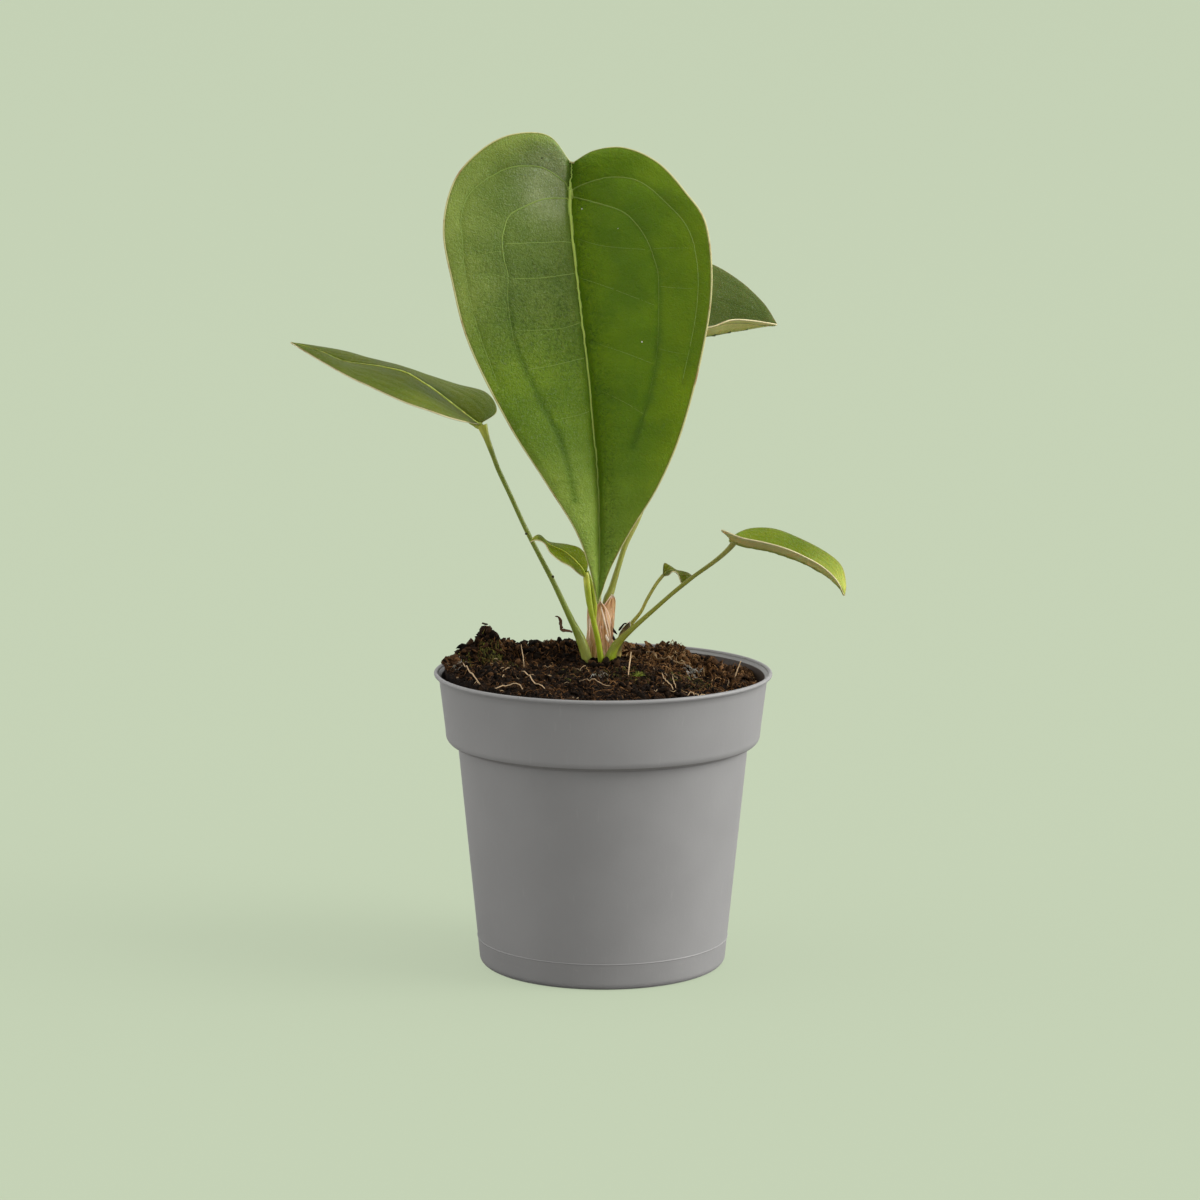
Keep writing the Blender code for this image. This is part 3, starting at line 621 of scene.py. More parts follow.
class SoilLooks(bpy.types.PropertyGroup):
    crumbs: IntProperty(
        name="Crumbs", description="Loose crumbs of peat on the soil", default=6500, min=0,
    )
    fibres: IntProperty(
        name="Fibres", description="Coir and root fibres on the soil", default=3000, min=0,
    )
    peat: FloatVectorProperty(
        name="Peat", description="Colour of the dark peat", subtype="COLOR",
        default=(0.012, 0.008, 0.006), min=0, max=1,
    )
    coir: FloatVectorProperty(
        name="Coir", description="Colour of the brown coir", subtype="COLOR",
        default=(0.15, 0.07, 0.025), min=0, max=1,
    )
    straw: FloatVectorProperty(
        name="Straw", description="Colour of the pale straws", subtype="COLOR",
        default=(0.60, 0.43, 0.25), min=0, max=1,
    )


class LeafLooks(bpy.types.PropertyGroup):
    thickness: FloatProperty(
        name="Thickness", description="Thickness of a leaf blade", default=0.5 * MM,
        min=0.1 * MM, unit="LENGTH",
    )
    vein: FloatVectorProperty(
        name="Vein", description="Colour of the midrib", subtype="COLOR",
        default=(0.46, 0.60, 0.11), min=0, max=1,
    )
    margin: FloatVectorProperty(
        name="Margin", description="Colour of the thin outer edge", subtype="COLOR",
        default=(0.50, 0.48, 0.20), min=0, max=1,
    )


class StageLooks(bpy.types.PropertyGroup):
    backdrop: FloatVectorProperty(
        name="Backdrop", description="Colour of the floor and backdrop", subtype="COLOR",
        default=(0.565, 0.651, 0.474), min=0, max=1,
    )
    key: FloatProperty(
        name="Key light", description="Strength of the soft light from the right",
        default=1.75, min=0,
    )
    fill: FloatProperty(
        name="Fill", description="Strength of the light from all round", default=1.0, min=0,
    )


def looks(name):
    return getattr(bpy.context.scene, name)


def srgb(red, green, blue):
    """A colour as it is read from a screen, from 0 to 255, turned into light values."""
    out = []
    for value in (red, green, blue):
        share = value / 255
        out.append(share / 12.92 if share <= 0.04045 else ((share + 0.055) / 1.055) ** 2.4)
    return opaque(out)


def opaque(colour):
    return (*colour, 1.0)


def scaled(colour, factor):
    return opaque(value * factor for value in colour)


# Shapes

def deselect_all():
    for thing in list(bpy.context.selected_objects):
        thing.select_set(False)


def name_new_piece(name):
    piece = bpy.context.object
    piece.name = name
    piece.data.name = name
    return piece


def pick_only(piece):
    deselect_all()
    piece.select_set(True)
    bpy.context.view_layer.objects.active = piece


def edit_all(piece):
    """Open a piece in edit mode with everything selected."""
    pick_only(piece)
    bpy.ops.object.mode_set(mode="EDIT")
    bpy.ops.mesh.select_mode(type="VERT")
    bpy.ops.mesh.select_all(action="SELECT")


def close_edit():
    bpy.ops.object.mode_set(mode="OBJECT")


def apply_all(piece):
    pick_only(piece)
    for modifier in list(piece.modifiers):
        bpy.ops.object.modifier_apply(modifier=modifier.name)


def smooth(piece, angle=None):
    pick_only(piece)
    if angle is None:
        bpy.ops.object.shade_smooth()
    else:
        bpy.ops.object.shade_smooth_by_angle(angle=math.radians(angle))


def dress(piece, skins, slot, *nodes):
    """Give a piece its materials and its body, and hide the solids it stands for. The slot is not used."""
    piece.data.materials.clear()
    for skin in skins:
        piece.data.materials.append(skin)
    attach(piece, "root")
    if nodes:
        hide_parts(*nodes)


def turn_up(name, rings, segments):
    """A turned body: a circle extruded ring by ring through (radius, height)."""
    deselect_all()
    radius, height = rings[0]
    bpy.ops.mesh.primitive_circle_add(
        vertices=segments, radius=radius * MM, location=(0, 0, 0), fill_type="NOTHING",
    )
    piece = name_new_piece(name)
    edit_all(piece)
    bpy.ops.transform.translate(value=(0, 0, height * MM))
    for (radius, height), (next_radius, next_height) in zip(rings, rings[1:]):
        move = {"value": (0, 0, (next_height - height) * MM)}
        bpy.ops.mesh.extrude_region_move(TRANSFORM_OT_translate=move)
        scale = next_radius / radius
        middle = (0, 0, next_height * MM)
        bpy.ops.transform.resize(value=(scale, scale, 1), center_override=middle)
    bpy.ops.mesh.select_all(action="SELECT")
    bpy.ops.mesh.fill_holes(sides=0)
    bpy.ops.mesh.normals_make_consistent(inside=False)
    close_edit()
    return piece


def arc(centre, radius, start, end, steps):
    """Points of a round corner in the turning plane, angles in degrees."""
    points = []
    for step in range(steps + 1):
        angle = math.radians(start + (end - start) * step / steps)
        points.append((centre[0] + radius * math.cos(angle), centre[1] + radius * math.sin(angle)))
    return points


def lay_grid(name, columns, rows, place):
    """A grid primitive laid over a surface: place(u, v) gives its points in millimetres."""
    deselect_all()
    bpy.ops.mesh.primitive_grid_add(
        x_subdivisions=columns, y_subdivisions=rows, size=2, location=(0, 0, 0), calc_uvs=True,
    )
    piece = name_new_piece(name)
    across = columns + 1
    spots = [
        place(index % across / columns, index // across / rows)
        for index in range(across * (rows + 1))
    ]
    flat = np.array(spots, dtype=np.float32) * MM
    piece.data.vertices.foreach_set("co", flat.ravel())
    piece.data.update()
    return piece


def merge_doubles(piece, distance=0.01):
    edit_all(piece)
    bpy.ops.mesh.remove_doubles(threshold=distance * MM)
    close_edit()


def clamp(value, low=0.0, high=1.0):
    return min(max(value, low), high)


def guide(points, place):
    """Point of a smooth curve through guide points, at a place from 0 to 1."""
    last = len(points) - 1
    along = clamp(place) * last
    start = min(int(along), last - 1)
    share = along - start
    second = Vector(points[start])
    third = Vector(points[start + 1])
    first = Vector(points[start - 1]) if start > 0 else second * 2 - third
    fourth = Vector(points[start + 2]) if start + 2 <= last else third * 2 - second
    curve = (third - first) / 2
    onward = (fourth - second) / 2
    square = share * share
    cube = square * share
    return (
        second * (2 * cube - 3 * square + 1) + curve * (cube - 2 * square + share)
        + third * (3 * square - 2 * cube) + onward * (cube - square)
    )


def guide_steps(points, steps):
    """Points at even places of the curve through guide points."""
    return [guide(points, step / steps) for step in range(steps + 1)]


def keep_values(piece, name, values):
    """Store one number for each point of a piece, for its material to read."""
    layer = piece.data.attributes.new(name, "FLOAT", "POINT")
    layer.data.foreach_set("value", np.asarray(values, dtype=np.float32))


def smoothstep(low, high, value):
    share = clamp((value - low) / (high - low))
    return share * share * (3 - 2 * share)


def bump_at(x, y, middle_x, middle_y, spread_mm):
    """A round rise over a place: 1 in its middle, fading to 0 outwards."""
    away = math.hypot(x - middle_x, y - middle_y) / spread_mm
    return math.exp(-away * away)


class Bundle:
    """Collects many small shapes into one mesh, each with a tone from 0 to 1."""

    def __init__(self):
        self.points = []
        self.faces = []
        self.tones = []

    def add(self, points, faces, tone):
        start = len(self.points)
        self.points.extend(points)
        self.faces.extend([tuple(start + corner for corner in face) for face in faces])
        if isinstance(tone, (int, float)):
            tone = [tone] * len(points)
        self.tones.extend(tone)

    def add_tube(self, route, radii, sides, tone, ups=None, squash=1.0):
        """A tube through points, closed to a point at both ends."""
        last = len(route) - 1
        points = []
        tones = []
        up = Vector((0.13, 0.27, 1)).normalized()
        for index, spot in enumerate(route):
            ahead = route[min(index + 1, last)] - route[max(index - 1, 0)]
            ahead = ahead.normalized() if ahead.length > 0 else Vector((1, 0, 0))
            lift = ups[index] if ups else up
            side = ahead.cross(lift)
            side = side.normalized() if side.length > 1e-6 else ahead.orthogonal().normalized()
            lift = side.cross(ahead)
            up = lift
            tint = tone[index] if isinstance(tone, list) else tone
            if index in (0, last):
                points.append(spot)
                tones.append(tint)
                continue
            for turn in range(sides):
                angle = math.tau * turn / sides
                reach = side * math.cos(angle) + lift * (math.sin(angle) * squash)
                points.append(spot + reach * radii[index])
                tones.append(tint)
        faces = []
        for turn in range(sides):
            after = (turn + 1) % sides
            faces.append((0, 1 + after, 1 + turn))
            for ring in range(last - 2):
                low = 1 + ring * sides
                high = low + sides
                faces.append((low + turn, low + after, high + after, high + turn))
            low = 1 + (last - 2) * sides
            faces.append((low + turn, low + after, 1 + (last - 1) * sides))
        self.add(points, faces, tones)

    def make(self, name, skins, slot):
        mesh = bpy.data.meshes.new(name)
        mesh.from_pydata([tuple(point * MM) for point in self.points], [], self.faces)
        mesh.update()
        piece = bpy.data.objects.new(name, mesh)
        bpy.context.scene.collection.objects.link(piece)
        keep_values(piece, "tone", self.tones)
        edit_all(piece)
        bpy.ops.mesh.normals_make_consistent(inside=False)
        close_edit()
        smooth(piece)
        dress(piece, skins, slot)
        return piece


# Materials

def set_inputs(tree, node, inputs):
    """Link or set a node's inputs, by name or number."""
    for name, value in inputs.items():
        if isinstance(value, bpy.types.NodeSocket):
            tree.links.new(value, node.inputs[name])
        else:
            node.inputs[name].default_value = value


def add_node(tree, kind, inputs, **settings):
    node = tree.nodes.new(kind)
    for name, value in settings.items():
        setattr(node, name, value)
    set_inputs(tree, node, inputs)
    return node


def math_node(tree, operation, first, second=0.0):
    return add_node(tree, "ShaderNodeMath", {0: first, 1: second}, operation=operation).outputs[0]


def product(tree, first, second):
    return math_node(tree, "MULTIPLY", first, second)


def total(tree, first, second):
    return math_node(tree, "ADD", first, second)


def mix_colours(tree, share, first, second, blend="MIX"):
    inputs = {0: share, 6: first, 7: second}
    return add_node(tree, "ShaderNodeMix", inputs, data_type="RGBA", blend_type=blend).outputs[2]


def tinted(tree, colour, tint):
    return mix_colours(tree, 1.0, colour, opaque(tint), "MULTIPLY")


def ramp(tree, value, stops):
    """A colour ramp through (place, colour) stops."""
    node = add_node(tree, "ShaderNodeValToRGB", {0: value})
    for index, (place, colour) in enumerate(stops):
        stop = node.color_ramp.elements[index] if index < 2 else node.color_ramp.elements.new(place)
        stop.position = place
        stop.color = colour
    return node.outputs[0]


def spread(tree, value, low, high, out_low=0.0, out_high=1.0):
    node = add_node(
        tree, "ShaderNodeMapRange",
        {0: value, 1: low, 2: high, 3: out_low, 4: out_high}, interpolation_type="SMOOTHSTEP",
    )
    return node.outputs[0]


def object_place(tree):
    return tree.nodes.new("ShaderNodeTexCoord").outputs["Object"]


def sheet_place(tree):
    """A place on a laid grid: X across it and Y along it, from 0 to 1."""
    return tree.nodes.new("ShaderNodeTexCoord").outputs["UV"]


def axes(tree, place):
    """The X, Y and Z of a place."""
    return add_node(tree, "ShaderNodeSeparateXYZ", {0: place}).outputs


def read_value(tree, name):
    return add_node(tree, "ShaderNodeAttribute", {}, attribute_name=name).outputs["Fac"]


def noise_at(tree, place, scale, detail=3.0, rough=0.5, warp=0.0):
    node = add_node(
        tree, "ShaderNodeTexNoise",
        {"Vector": place, "Scale": scale, "Detail": detail, "Roughness": rough, "Distortion": warp},
    )
    return node.outputs["Fac"]


def stretch(tree, place, scale):
    node = add_node(tree, "ShaderNodeMapping", {"Vector": place, "Scale": scale})
    return node.outputs["Vector"]


def new_group(name, inputs, outputs):
    """An empty shader node group with named sockets: float, colour or vector."""
    kinds = {"float": "NodeSocketFloat", "colour": "NodeSocketColor", "vector": "NodeSocketVector"}
    tree = bpy.data.node_groups.new(name, "ShaderNodeTree")
    for label, kind, value in inputs:
        socket = tree.interface.new_socket(label, in_out="INPUT", socket_type=kinds[kind])
        if value is not None:
            socket.default_value = value
    for label, kind in outputs:
        tree.interface.new_socket(label, in_out="OUTPUT", socket_type=kinds[kind])
    return tree, tree.nodes.new("NodeGroupInput"), tree.nodes.new("NodeGroupOutput")


def place_group(tree, group, inputs):
    return add_node(tree, "ShaderNodeGroup", inputs, node_tree=group).outputs


def new_skin(name):
    skin = bpy.data.materials.new(name)
    skin.use_nodes = True
    tree = skin.node_tree
    return skin, tree, tree.nodes["Principled BSDF"]


def set_bump(tree, shader, height, strength, distance):
    bump = add_node(
        tree, "ShaderNodeBump", {"Height": height, "Strength": strength, "Distance": distance},
    )
    tree.links.new(bump.outputs["Normal"], shader.inputs["Normal"])


def inner_wall_darkening(tree, place):
    """How much darker brown a place on the pot's inner wall is, from 0 to 1, more below the lip."""
    x, y, height = axes(tree, place)
    squares = total(tree, math_node(tree, "POWER", x, 2.0), math_node(tree, "POWER", y, 2.0))
    slope = (BAND_TOP_RADIUS - BAND_FOOT_RADIUS) / (POT_HEIGHT - BAND_FOOT_HEIGHT)
    start = (BAND_FOOT_RADIUS - BAND_FOOT_HEIGHT * slope - HALF_WALL) * MM
    middle = total(tree, product(tree, height, slope), start)
    inside = math_node(tree, "LESS_THAN", math_node(tree, "SQRT", squares), middle)
    inside = product(tree, inside, spread(tree, height, 0.1052, 0.1036, 0.2, 0.95))
    return product(tree, inside, spread(tree, height, 0.078, 0.084))


def plastic_skin():
    """Matt grey plastic: fine grain, faint blotches and streaks, a few pale scuffs at the
    foot, soil on the lip, and the inner wall darker brown below the lip."""
    skin, tree, shader = new_skin("grey_plastic")
    place = object_place(tree)
    height = axes(tree, place)["Z"]
    grey = looks("pot_looks").plastic
    mottle = spread(tree, noise_at(tree, place, 45.0, 4.0, 0.55), 0.3, 0.7)
    colour = mix_colours(tree, mottle, scaled(grey, 0.97), scaled(grey, 1.03))
    streaks = noise_at(tree, stretch(tree, place, (1, 1, 0.06)), 900.0, 2.0)
    streaks = spread(tree, streaks, 0.62, 0.85, 0, 0.12)
    colour = mix_colours(tree, streaks, colour, srgb(178, 176, 172))
    patches = noise_at(tree, stretch(tree, place, (1, 1, 4)), 240.0, 4.0, 0.7, 0.6)
    scuffed = product(tree, spread(tree, patches, 0.58, 0.7), spread(tree, height, 0.016, 0.006))
    colour = mix_colours(tree, product(tree, scuffed, 0.3), colour, srgb(150, 148, 144))
    soiled = product(tree, spread(tree, patches, 0.6, 0.72), spread(tree, height, 0.1045, 0.1052))
    colour = mix_colours(tree, product(tree, soiled, 0.7), colour, srgb(70, 52, 40))
    # The inner wall darker brown, more below the lip
    colour = mix_colours(tree, inner_wall_darkening(tree, place), colour, srgb(58, 44, 34))
    rough = spread(tree, mottle, 0, 1, 0.46, 0.54)
    set_inputs(tree, shader, {"Base Color": colour, "Roughness": rough})
    fine = noise_at(tree, place, 1800.0, 2.0, 0.6)
    coarse = noise_at(tree, place, 720.0, 2.0, 0.5)
    set_bump(tree, shader, total(tree, fine, coarse), 0.3, 0.00006)
    return skin


def soil_skin():
    """Dark peat with coir threads, browner at the back and right, painted shade in the gaps between crumbs,
    and pale grit.
    """
    skin, tree, shader = new_skin("peat")
    place = object_place(tree)
    peat = opaque(looks("soil_looks").peat)
    coir = opaque(looks("soil_looks").coir)
    x, y = axes(tree, place)[:2]
    brown = product(tree, spread(tree, y, -0.012, 0.014), spread(tree, x, -0.006, 0.02))
    patches = spread(tree, noise_at(tree, place, 90.0, 5.0, 0.6), 0.5, 0.75, 0, 0.4)
    colour = mix_colours(tree, total(tree, patches, product(tree, brown, 0.35)), peat, coir)
    threads = noise_at(tree, stretch(tree, place, (1, 0.25, 1)), 900.0, 4.0, 0.65, 1.2)
    colour = mix_colours(tree, spread(tree, threads, 0.58, 0.68, 0, 0.5), colour, coir)
    crumbs = noise_at(tree, place, 1400.0, 3.0, 0.7)
    # Painted shade: near black in the hollows between crumbs, where the bump is low
    painted_gap_shade = spread(tree, crumbs, 0.35, 0.52, 0.85, 0)
    colour = mix_colours(tree, painted_gap_shade, colour, (0.004, 0.003, 0.002, 1))
    grit = spread(tree, noise_at(tree, place, 2300.0, 1.0), 0.74, 0.78, 0, 0.6)
    colour = mix_colours(tree, grit, colour, srgb(140, 128, 110))
    set_inputs(tree, shader, {"Base Color": colour, "Roughness": 0.95, "Specular IOR Level": 0.1})
    set_bump(tree, shader, total(tree, crumbs, threads), 1.0, 0.0007)
    return skin


def loose_skin(name, stops, rough):
    """Crumbs, fibres and dried bits: each takes its colour from its own tone."""
    skin, tree, shader = new_skin(name)
    mottle = noise_at(tree, object_place(tree), 1300.0, 3.0, 0.6)
    tone = total(tree, read_value(tree, "tone"), spread(tree, mottle, 0.3, 0.7, -0.1, 0.1))
    colour = ramp(tree, tone, stops)
    set_inputs(tree, shader, {"Base Color": colour, "Roughness": rough, "Specular IOR Level": 0.08})
    set_bump(tree, shader, mottle, 0.6, 0.0003)
    return skin


# Pot

def body_radius(height):
    """Outer radius of the tapering body at a height."""
    return BODY_FOOT_RADIUS + (BODY_TOP_RADIUS - BODY_FOOT_RADIUS) * height / BODY_TOP_HEIGHT


def pot_rings():
    """The pot's profile from the middle of its foot, up outside, over the lip and down."""
    wall = looks("pot_looks").wall / MM
    corner = (body_radius(FOOT_ROUNDING) - FOOT_ROUNDING, FOOT_ROUNDING)
    shoulder = (BAND_FOOT_RADIUS - SHOULDER, BAND_FOOT_HEIGHT - 0.8)
    lip = (RIM_RADIUS - LIP, POT_HEIGHT - LIP)
    outside = [(FLOOR_MIDDLE, 0.0), (30.0, 0.0)]
    outside += arc(corner, FOOT_ROUNDING, -90, 0, 8)
    for step, rise in MOULD_LINE:
        height = MOULD_LINE_HEIGHT + step
        outside.append((body_radius(height) + rise, height))
    body_top = body_radius(BODY_TOP_HEIGHT)
    outside += [
        (body_radius(40.0), 40.0),
        (body_top, BODY_TOP_HEIGHT),
        (body_top + 0.15, BODY_TOP_HEIGHT + 1.8),
        (body_top + 0.45, BODY_TOP_HEIGHT + 2.1),
    ]
    outside += arc(shoulder, SHOULDER, -84, 0, 9)
    outside += [
        (BAND_FOOT_RADIUS + 0.2, BAND_FOOT_HEIGHT + 1.6),
        (BAND_TOP_RADIUS - 0.15, POT_HEIGHT - 4.0),
        (BAND_TOP_RADIUS + 0.1, POT_HEIGHT - 2.3),
        (BAND_TOP_RADIUS + 0.5, POT_HEIGHT - 1.75),
    ]
    bead = arc(lip, LIP, -50, 190, 12)
    inside = [
        (BAND_TOP_RADIUS - wall + 0.3, POT_HEIGHT - 1.8),
        (BAND_FOOT_RADIUS - wall, BAND_FOOT_HEIGHT + 0.6),
        (BAND_FOOT_RADIUS - wall - 1.5, BODY_TOP_HEIGHT + 3.4),
        (body_top - wall, BODY_TOP_HEIGHT + 1.0),
        (body_radius(4) - wall, 4.0),
        (body_radius(FLOOR) - wall - 2.0, FLOOR),
        (FLOOR_MIDDLE, FLOOR),
    ]
    return outside + bead + inside


class PLANT_OT_pot(bpy.types.Operator):
    """Turn the grey nursery pot and cut its drain holes"""

    bl_idname = "plant.pot"
    bl_label = "Pot"

    def execute(self, context):
        pot = turn_up("nursery_pot", pot_rings(), looks("pot_looks").segments)
        for hole in range(DRAIN_HOLES):
            angle = math.tau * (hole + 0.5) / DRAIN_HOLES
            place = (math.cos(angle) * DRAIN_CIRCLE * MM, math.sin(angle) * DRAIN_CIRCLE * MM, 0)
            deselect_all()
            bpy.ops.mesh.primitive_cylinder_add(
                vertices=24, radius=DRAIN_RADIUS * MM, depth=8 * MM, location=place,
            )
            cutter = name_new_piece("drain_cutter")
            cut = pot.modifiers.new("drain", "BOOLEAN")
            cut.operation = "DIFFERENCE"
            cut.object = cutter
            apply_all(pot)
            bpy.data.objects.remove(cutter, do_unlink=True)
        smooth(pot, 28)
        dress(pot, [plastic_skin()], "pot_plastic", "pot")
        return {"FINISHED"}


# Soil

def soil_height(x, y):
    """Height of the soil's broad form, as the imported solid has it."""
    reach = math.hypot(x, y)
    swing = math.cos(math.atan2(y, x) - SOIL_EDGE_LOW_ANGLE)
    edge = SOIL_EDGE - SOIL_EDGE_SWING * swing
    height = SOIL_CROWN + (edge - SOIL_CROWN) * smoothstep(12, 56, reach)
    fade = clamp((reach - 8) / 6)
    for clump_x, clump_y, spread_mm, rise in SOIL_CLUMPS:
        away = math.hypot(x - clump_x, y - clump_y) / spread_mm
        height += rise * fade * math.exp(-away * away)
    height += fade * SOIL_COARSE * noise.noise(Vector((x / 7, y / 7, 3.0)))
    height += fade * SOIL_FINE * noise.noise(Vector((x / 3, y / 3, 9.0)))
    return height


def soil_relief(x, y):
    """The soil's broad form with its drifts, crumbs and hollows."""
    height = soil_height(x, y)
    calm = 0.35 + 0.65 * smoothstep(6, 14, math.hypot(x, y))
    rough = 1 + 0.7 * heap_share(x, y)
    lumps = noise.fractal(Vector((x / 2.4, y / 2.4, 5.0)), 0.9, 2.1, 4)
    ridges = 1 - abs(noise.noise(Vector((x / 1.7, y / 1.7, 2.0)))) * 3
    for drift_x, drift_y, spread_mm, rise in SOIL_DRIFTS:
        height += rise * bump_at(x, y, drift_x, drift_y, spread_mm)
    clefts = abs(noise.noise(Vector((x / 4.5, y / 4.5, 7.0))))
    return height + calm * rough * (0.85 * lumps + 0.35 * ridges - 0.2 - 1.1 * math.exp(-clefts * 14))


def heap_share(x, y):
    """How much a place belongs to the loose heaps, from 0 to 1."""
    share = sum(
        bump_at(x, y, clump_x, clump_y, spread_mm * 1.3) * min(rise / 4, 1)
        for clump_x, clump_y, spread_mm, rise in SOIL_HEAPS
    )
    return min(share, 1.0)


def coir_share(x, y):
    """How much brown coir shows at a place: most of it at the back right."""
    return smoothstep(-6, 20, x) * smoothstep(-12, 14, y)


def disc_point(u, v):
    """A point of the unit disc for a point of the unit square, without a pole."""
    a = 2 * u - 1
    b = 2 * v - 1
    return a * math.sqrt(1 - b * b / 2), b * math.sqrt(1 - a * a / 2)


class PLANT_OT_soil(bpy.types.Operator):
    """Lay the crumbly soil in the pot and close it under the surface"""

    bl_idname = "plant.soil"
    bl_label = "Soil"

    def execute(self, context):
        def surface(u, v):
            across, onward = disc_point(u, v)
            x = across * SOIL_EDGE_RADIUS
            y = onward * SOIL_EDGE_RADIUS
            return x, y, soil_relief(x, y)

        soil = lay_grid("soil_surface", 250, 250, surface)
        edit_all(soil)
        bpy.ops.mesh.region_to_loop()
        wall = looks("pot_looks").wall / MM
        levels = (
            (BAND_FOOT_RADIUS - wall - 0.4, BAND_FOOT_HEIGHT + 1.0),
            (body_radius(BODY_TOP_HEIGHT) - wall - 0.5, BODY_TOP_HEIGHT),
            (body_radius(4) - wall - 0.5, 4.2),
            (body_radius(4) - wall - 3.0, FLOOR + 0.3),
        )
        radius = SOIL_EDGE_RADIUS
        for next_radius, height in levels:
            bpy.ops.mesh.extrude_region_move()
            scale = next_radius / radius
            bpy.ops.transform.resize(value=(scale, scale, 0), center_override=(0, 0, height * MM))
            radius = next_radius
        bpy.ops.mesh.edge_face_add()
        bpy.ops.mesh.select_all(action="SELECT")
        bpy.ops.mesh.normals_make_consistent(inside=False)
        close_edit()
        smooth(soil, 60)
        dress(soil, [soil_skin()], "potting_soil", "soil")
        return {"FINISHED"}


def random_place(draw, inner, outer):
    """A place on the soil, evenly spread over the ring between two radii."""
    reach = math.sqrt(draw.uniform(inner * inner, outer * outer))
    angle = draw.uniform(0, math.tau)
    return reach * math.cos(angle), reach * math.sin(angle)


def place_near(draw, x, y, radius):
    """A place evenly drawn from a disc, and its distance from the disc's middle."""
    angle = draw.uniform(0, math.tau)
    away = radius * math.sqrt(draw.random())
    return x + away * math.cos(angle), y + away * math.sin(angle), away


def crumb_models(draw, count):
    """A few small lumps of peat: round primitives pulled out of shape."""
    models = []
    for index in range(count):
        deselect_all()
        bpy.ops.mesh.primitive_ico_sphere_add(subdivisions=1, radius=1.0, location=(0, 0, 0))
        lump = name_new_piece("lump")
        seed = Vector((index * 3.7, index * 1.3, 0.5))
        points = []
        for point in lump.data.vertices:
            push = 1 + 0.75 * noise.noise(point.co * 1.3 + seed) + draw.uniform(-0.16, 0.16)
            points.append(point.co * push)
        faces = [tuple(face.vertices) for face in lump.data.polygons]
        models.append((points, faces))
        bpy.data.objects.remove(lump, do_unlink=True)
    return models


def turned_about(draw):
    return Matrix.Rotation(draw.uniform(0, math.tau), 3, draw_direction(draw))


def add_lump(bundle, model, place, turn, shape, tone):
    points, faces = model
    bundle.add([place + turn @ (shape @ point) for point in points], faces, tone)


def draw_direction(draw):
    while True:
        axis = Vector((draw.uniform(-1, 1), draw.uniform(-1, 1), draw.uniform(-1, 1)))
        if 0.1 < axis.length < 1:
            return axis.normalized()


class PLANT_OT_crumbs(bpy.types.Operator):
    """Scatter crumbs, flakes and grit over the soil, and heap clods on it"""

    bl_idname = "plant.crumbs"
    bl_label = "Crumbs"

    def execute(self, context):
        draw = random.Random(CRUMB_SEED)
        models = crumb_models(draw, 8)
        bundle = Bundle()
        wanted = looks("soil_looks").crumbs
        while wanted > 0:
            x, y = random_place(draw, 5, SOIL_EDGE_RADIUS - 0.8)
            heap = heap_share(x, y)
            size = 0.22 + 0.6 * draw.random() ** 2.8
            if draw.random() < 0.2 * heap:
                size += draw.uniform(0.3, 0.9)
            model = models[draw.randrange(len(models))]
            long_way = draw.uniform(0.9, 2.2)
            shape = Matrix.Diagonal((size * long_way, size, size * draw.uniform(0.3, 0.8)))
            turn = turned_about(draw)
            place = Vector((x, y, soil_relief(x, y) + 0.2 * size + 0.8 * heap * draw.random()))
            if math.hypot(x, y) + size * long_way > SOIL_EDGE_RADIUS + 0.4:
                continue
            tone = clamp(draw.gauss(0.2 + 0.24 * coir_share(x, y), 0.17), 0.02, 0.9)
            if draw.random() < GRIT_SHARE:
                tone = GRIT_TONE
            add_lump(bundle, model, place, turn, shape, tone)
            wanted -= 1
        for x, y, radius, count, lift, tone in SOIL_CLODS:
            for number in range(count):
                spot_x, spot_y, away = place_near(draw, x, y, radius)
                if math.hypot(spot_x, spot_y) > SOIL_EDGE_RADIUS + 0.2:
                    continue
                size = draw.uniform(0.4, 1.4)
                rise = lift * draw.random() * (1 - 0.6 * away / radius)
                place = Vector((spot_x, spot_y, soil_relief(spot_x, spot_y) + rise))
                shape = Matrix.Diagonal((size * draw.uniform(1, 1.8), size, size * draw.uniform(0.4, 0.9)))
                turn = turned_about(draw)
                model = models[draw.randrange(len(models))]
                add_lump(bundle, model, place, turn, shape, clamp(draw.gauss(tone, 0.14), 0.02, 0.9))
        bundle.make("soil_crumbs", [loose_skin("peat_crumbs", PEAT_STOPS, 0.92)], "potting_soil")
        return {"FINISHED"}


def soil_route(draw, x, y, length, steps, bend, lift):
    """A loose thread over the soil: it wanders, and arches a little in its middle."""
    heading = draw.uniform(0, math.tau)
    turning = draw.gauss(0, bend)
    route = []
    for step in range(steps + 1):
        share = step / steps
        reach = math.hypot(x, y)
        if reach > SOIL_EDGE_RADIUS - 0.6:
            x *= (SOIL_EDGE_RADIUS - 0.6) / reach
            y *= (SOIL_EDGE_RADIUS - 0.6) / reach
        height = soil_relief(x, y) + lift * 4 * share * (1 - share)
        route.append(Vector((x, y, height)))
        x += math.cos(heading) * length / steps
        y += math.sin(heading) * length / steps
        heading += turning + draw.gauss(0, bend * 0.6)
    return route


def lay_mat(bundle, draw, x, y, radius, count, length, lift, tone):
    """A small mat of tangled fibres, standing a little off the soil."""
    for number in range(count):
        spot_x, spot_y, away = place_near(draw, x, y, radius)
        reach = draw.uniform(0.35, 1.0) * length
        rise = abs(draw.gauss(0.1, 0.3)) * lift
        route = soil_route(draw, spot_x, spot_y, reach, 6, 0.5, rise)
        thick = draw.uniform(0.06, 0.17)
        bundle.add_tube(route, [thick] * len(route), 3, clamp(draw.gauss(tone, 0.16)))


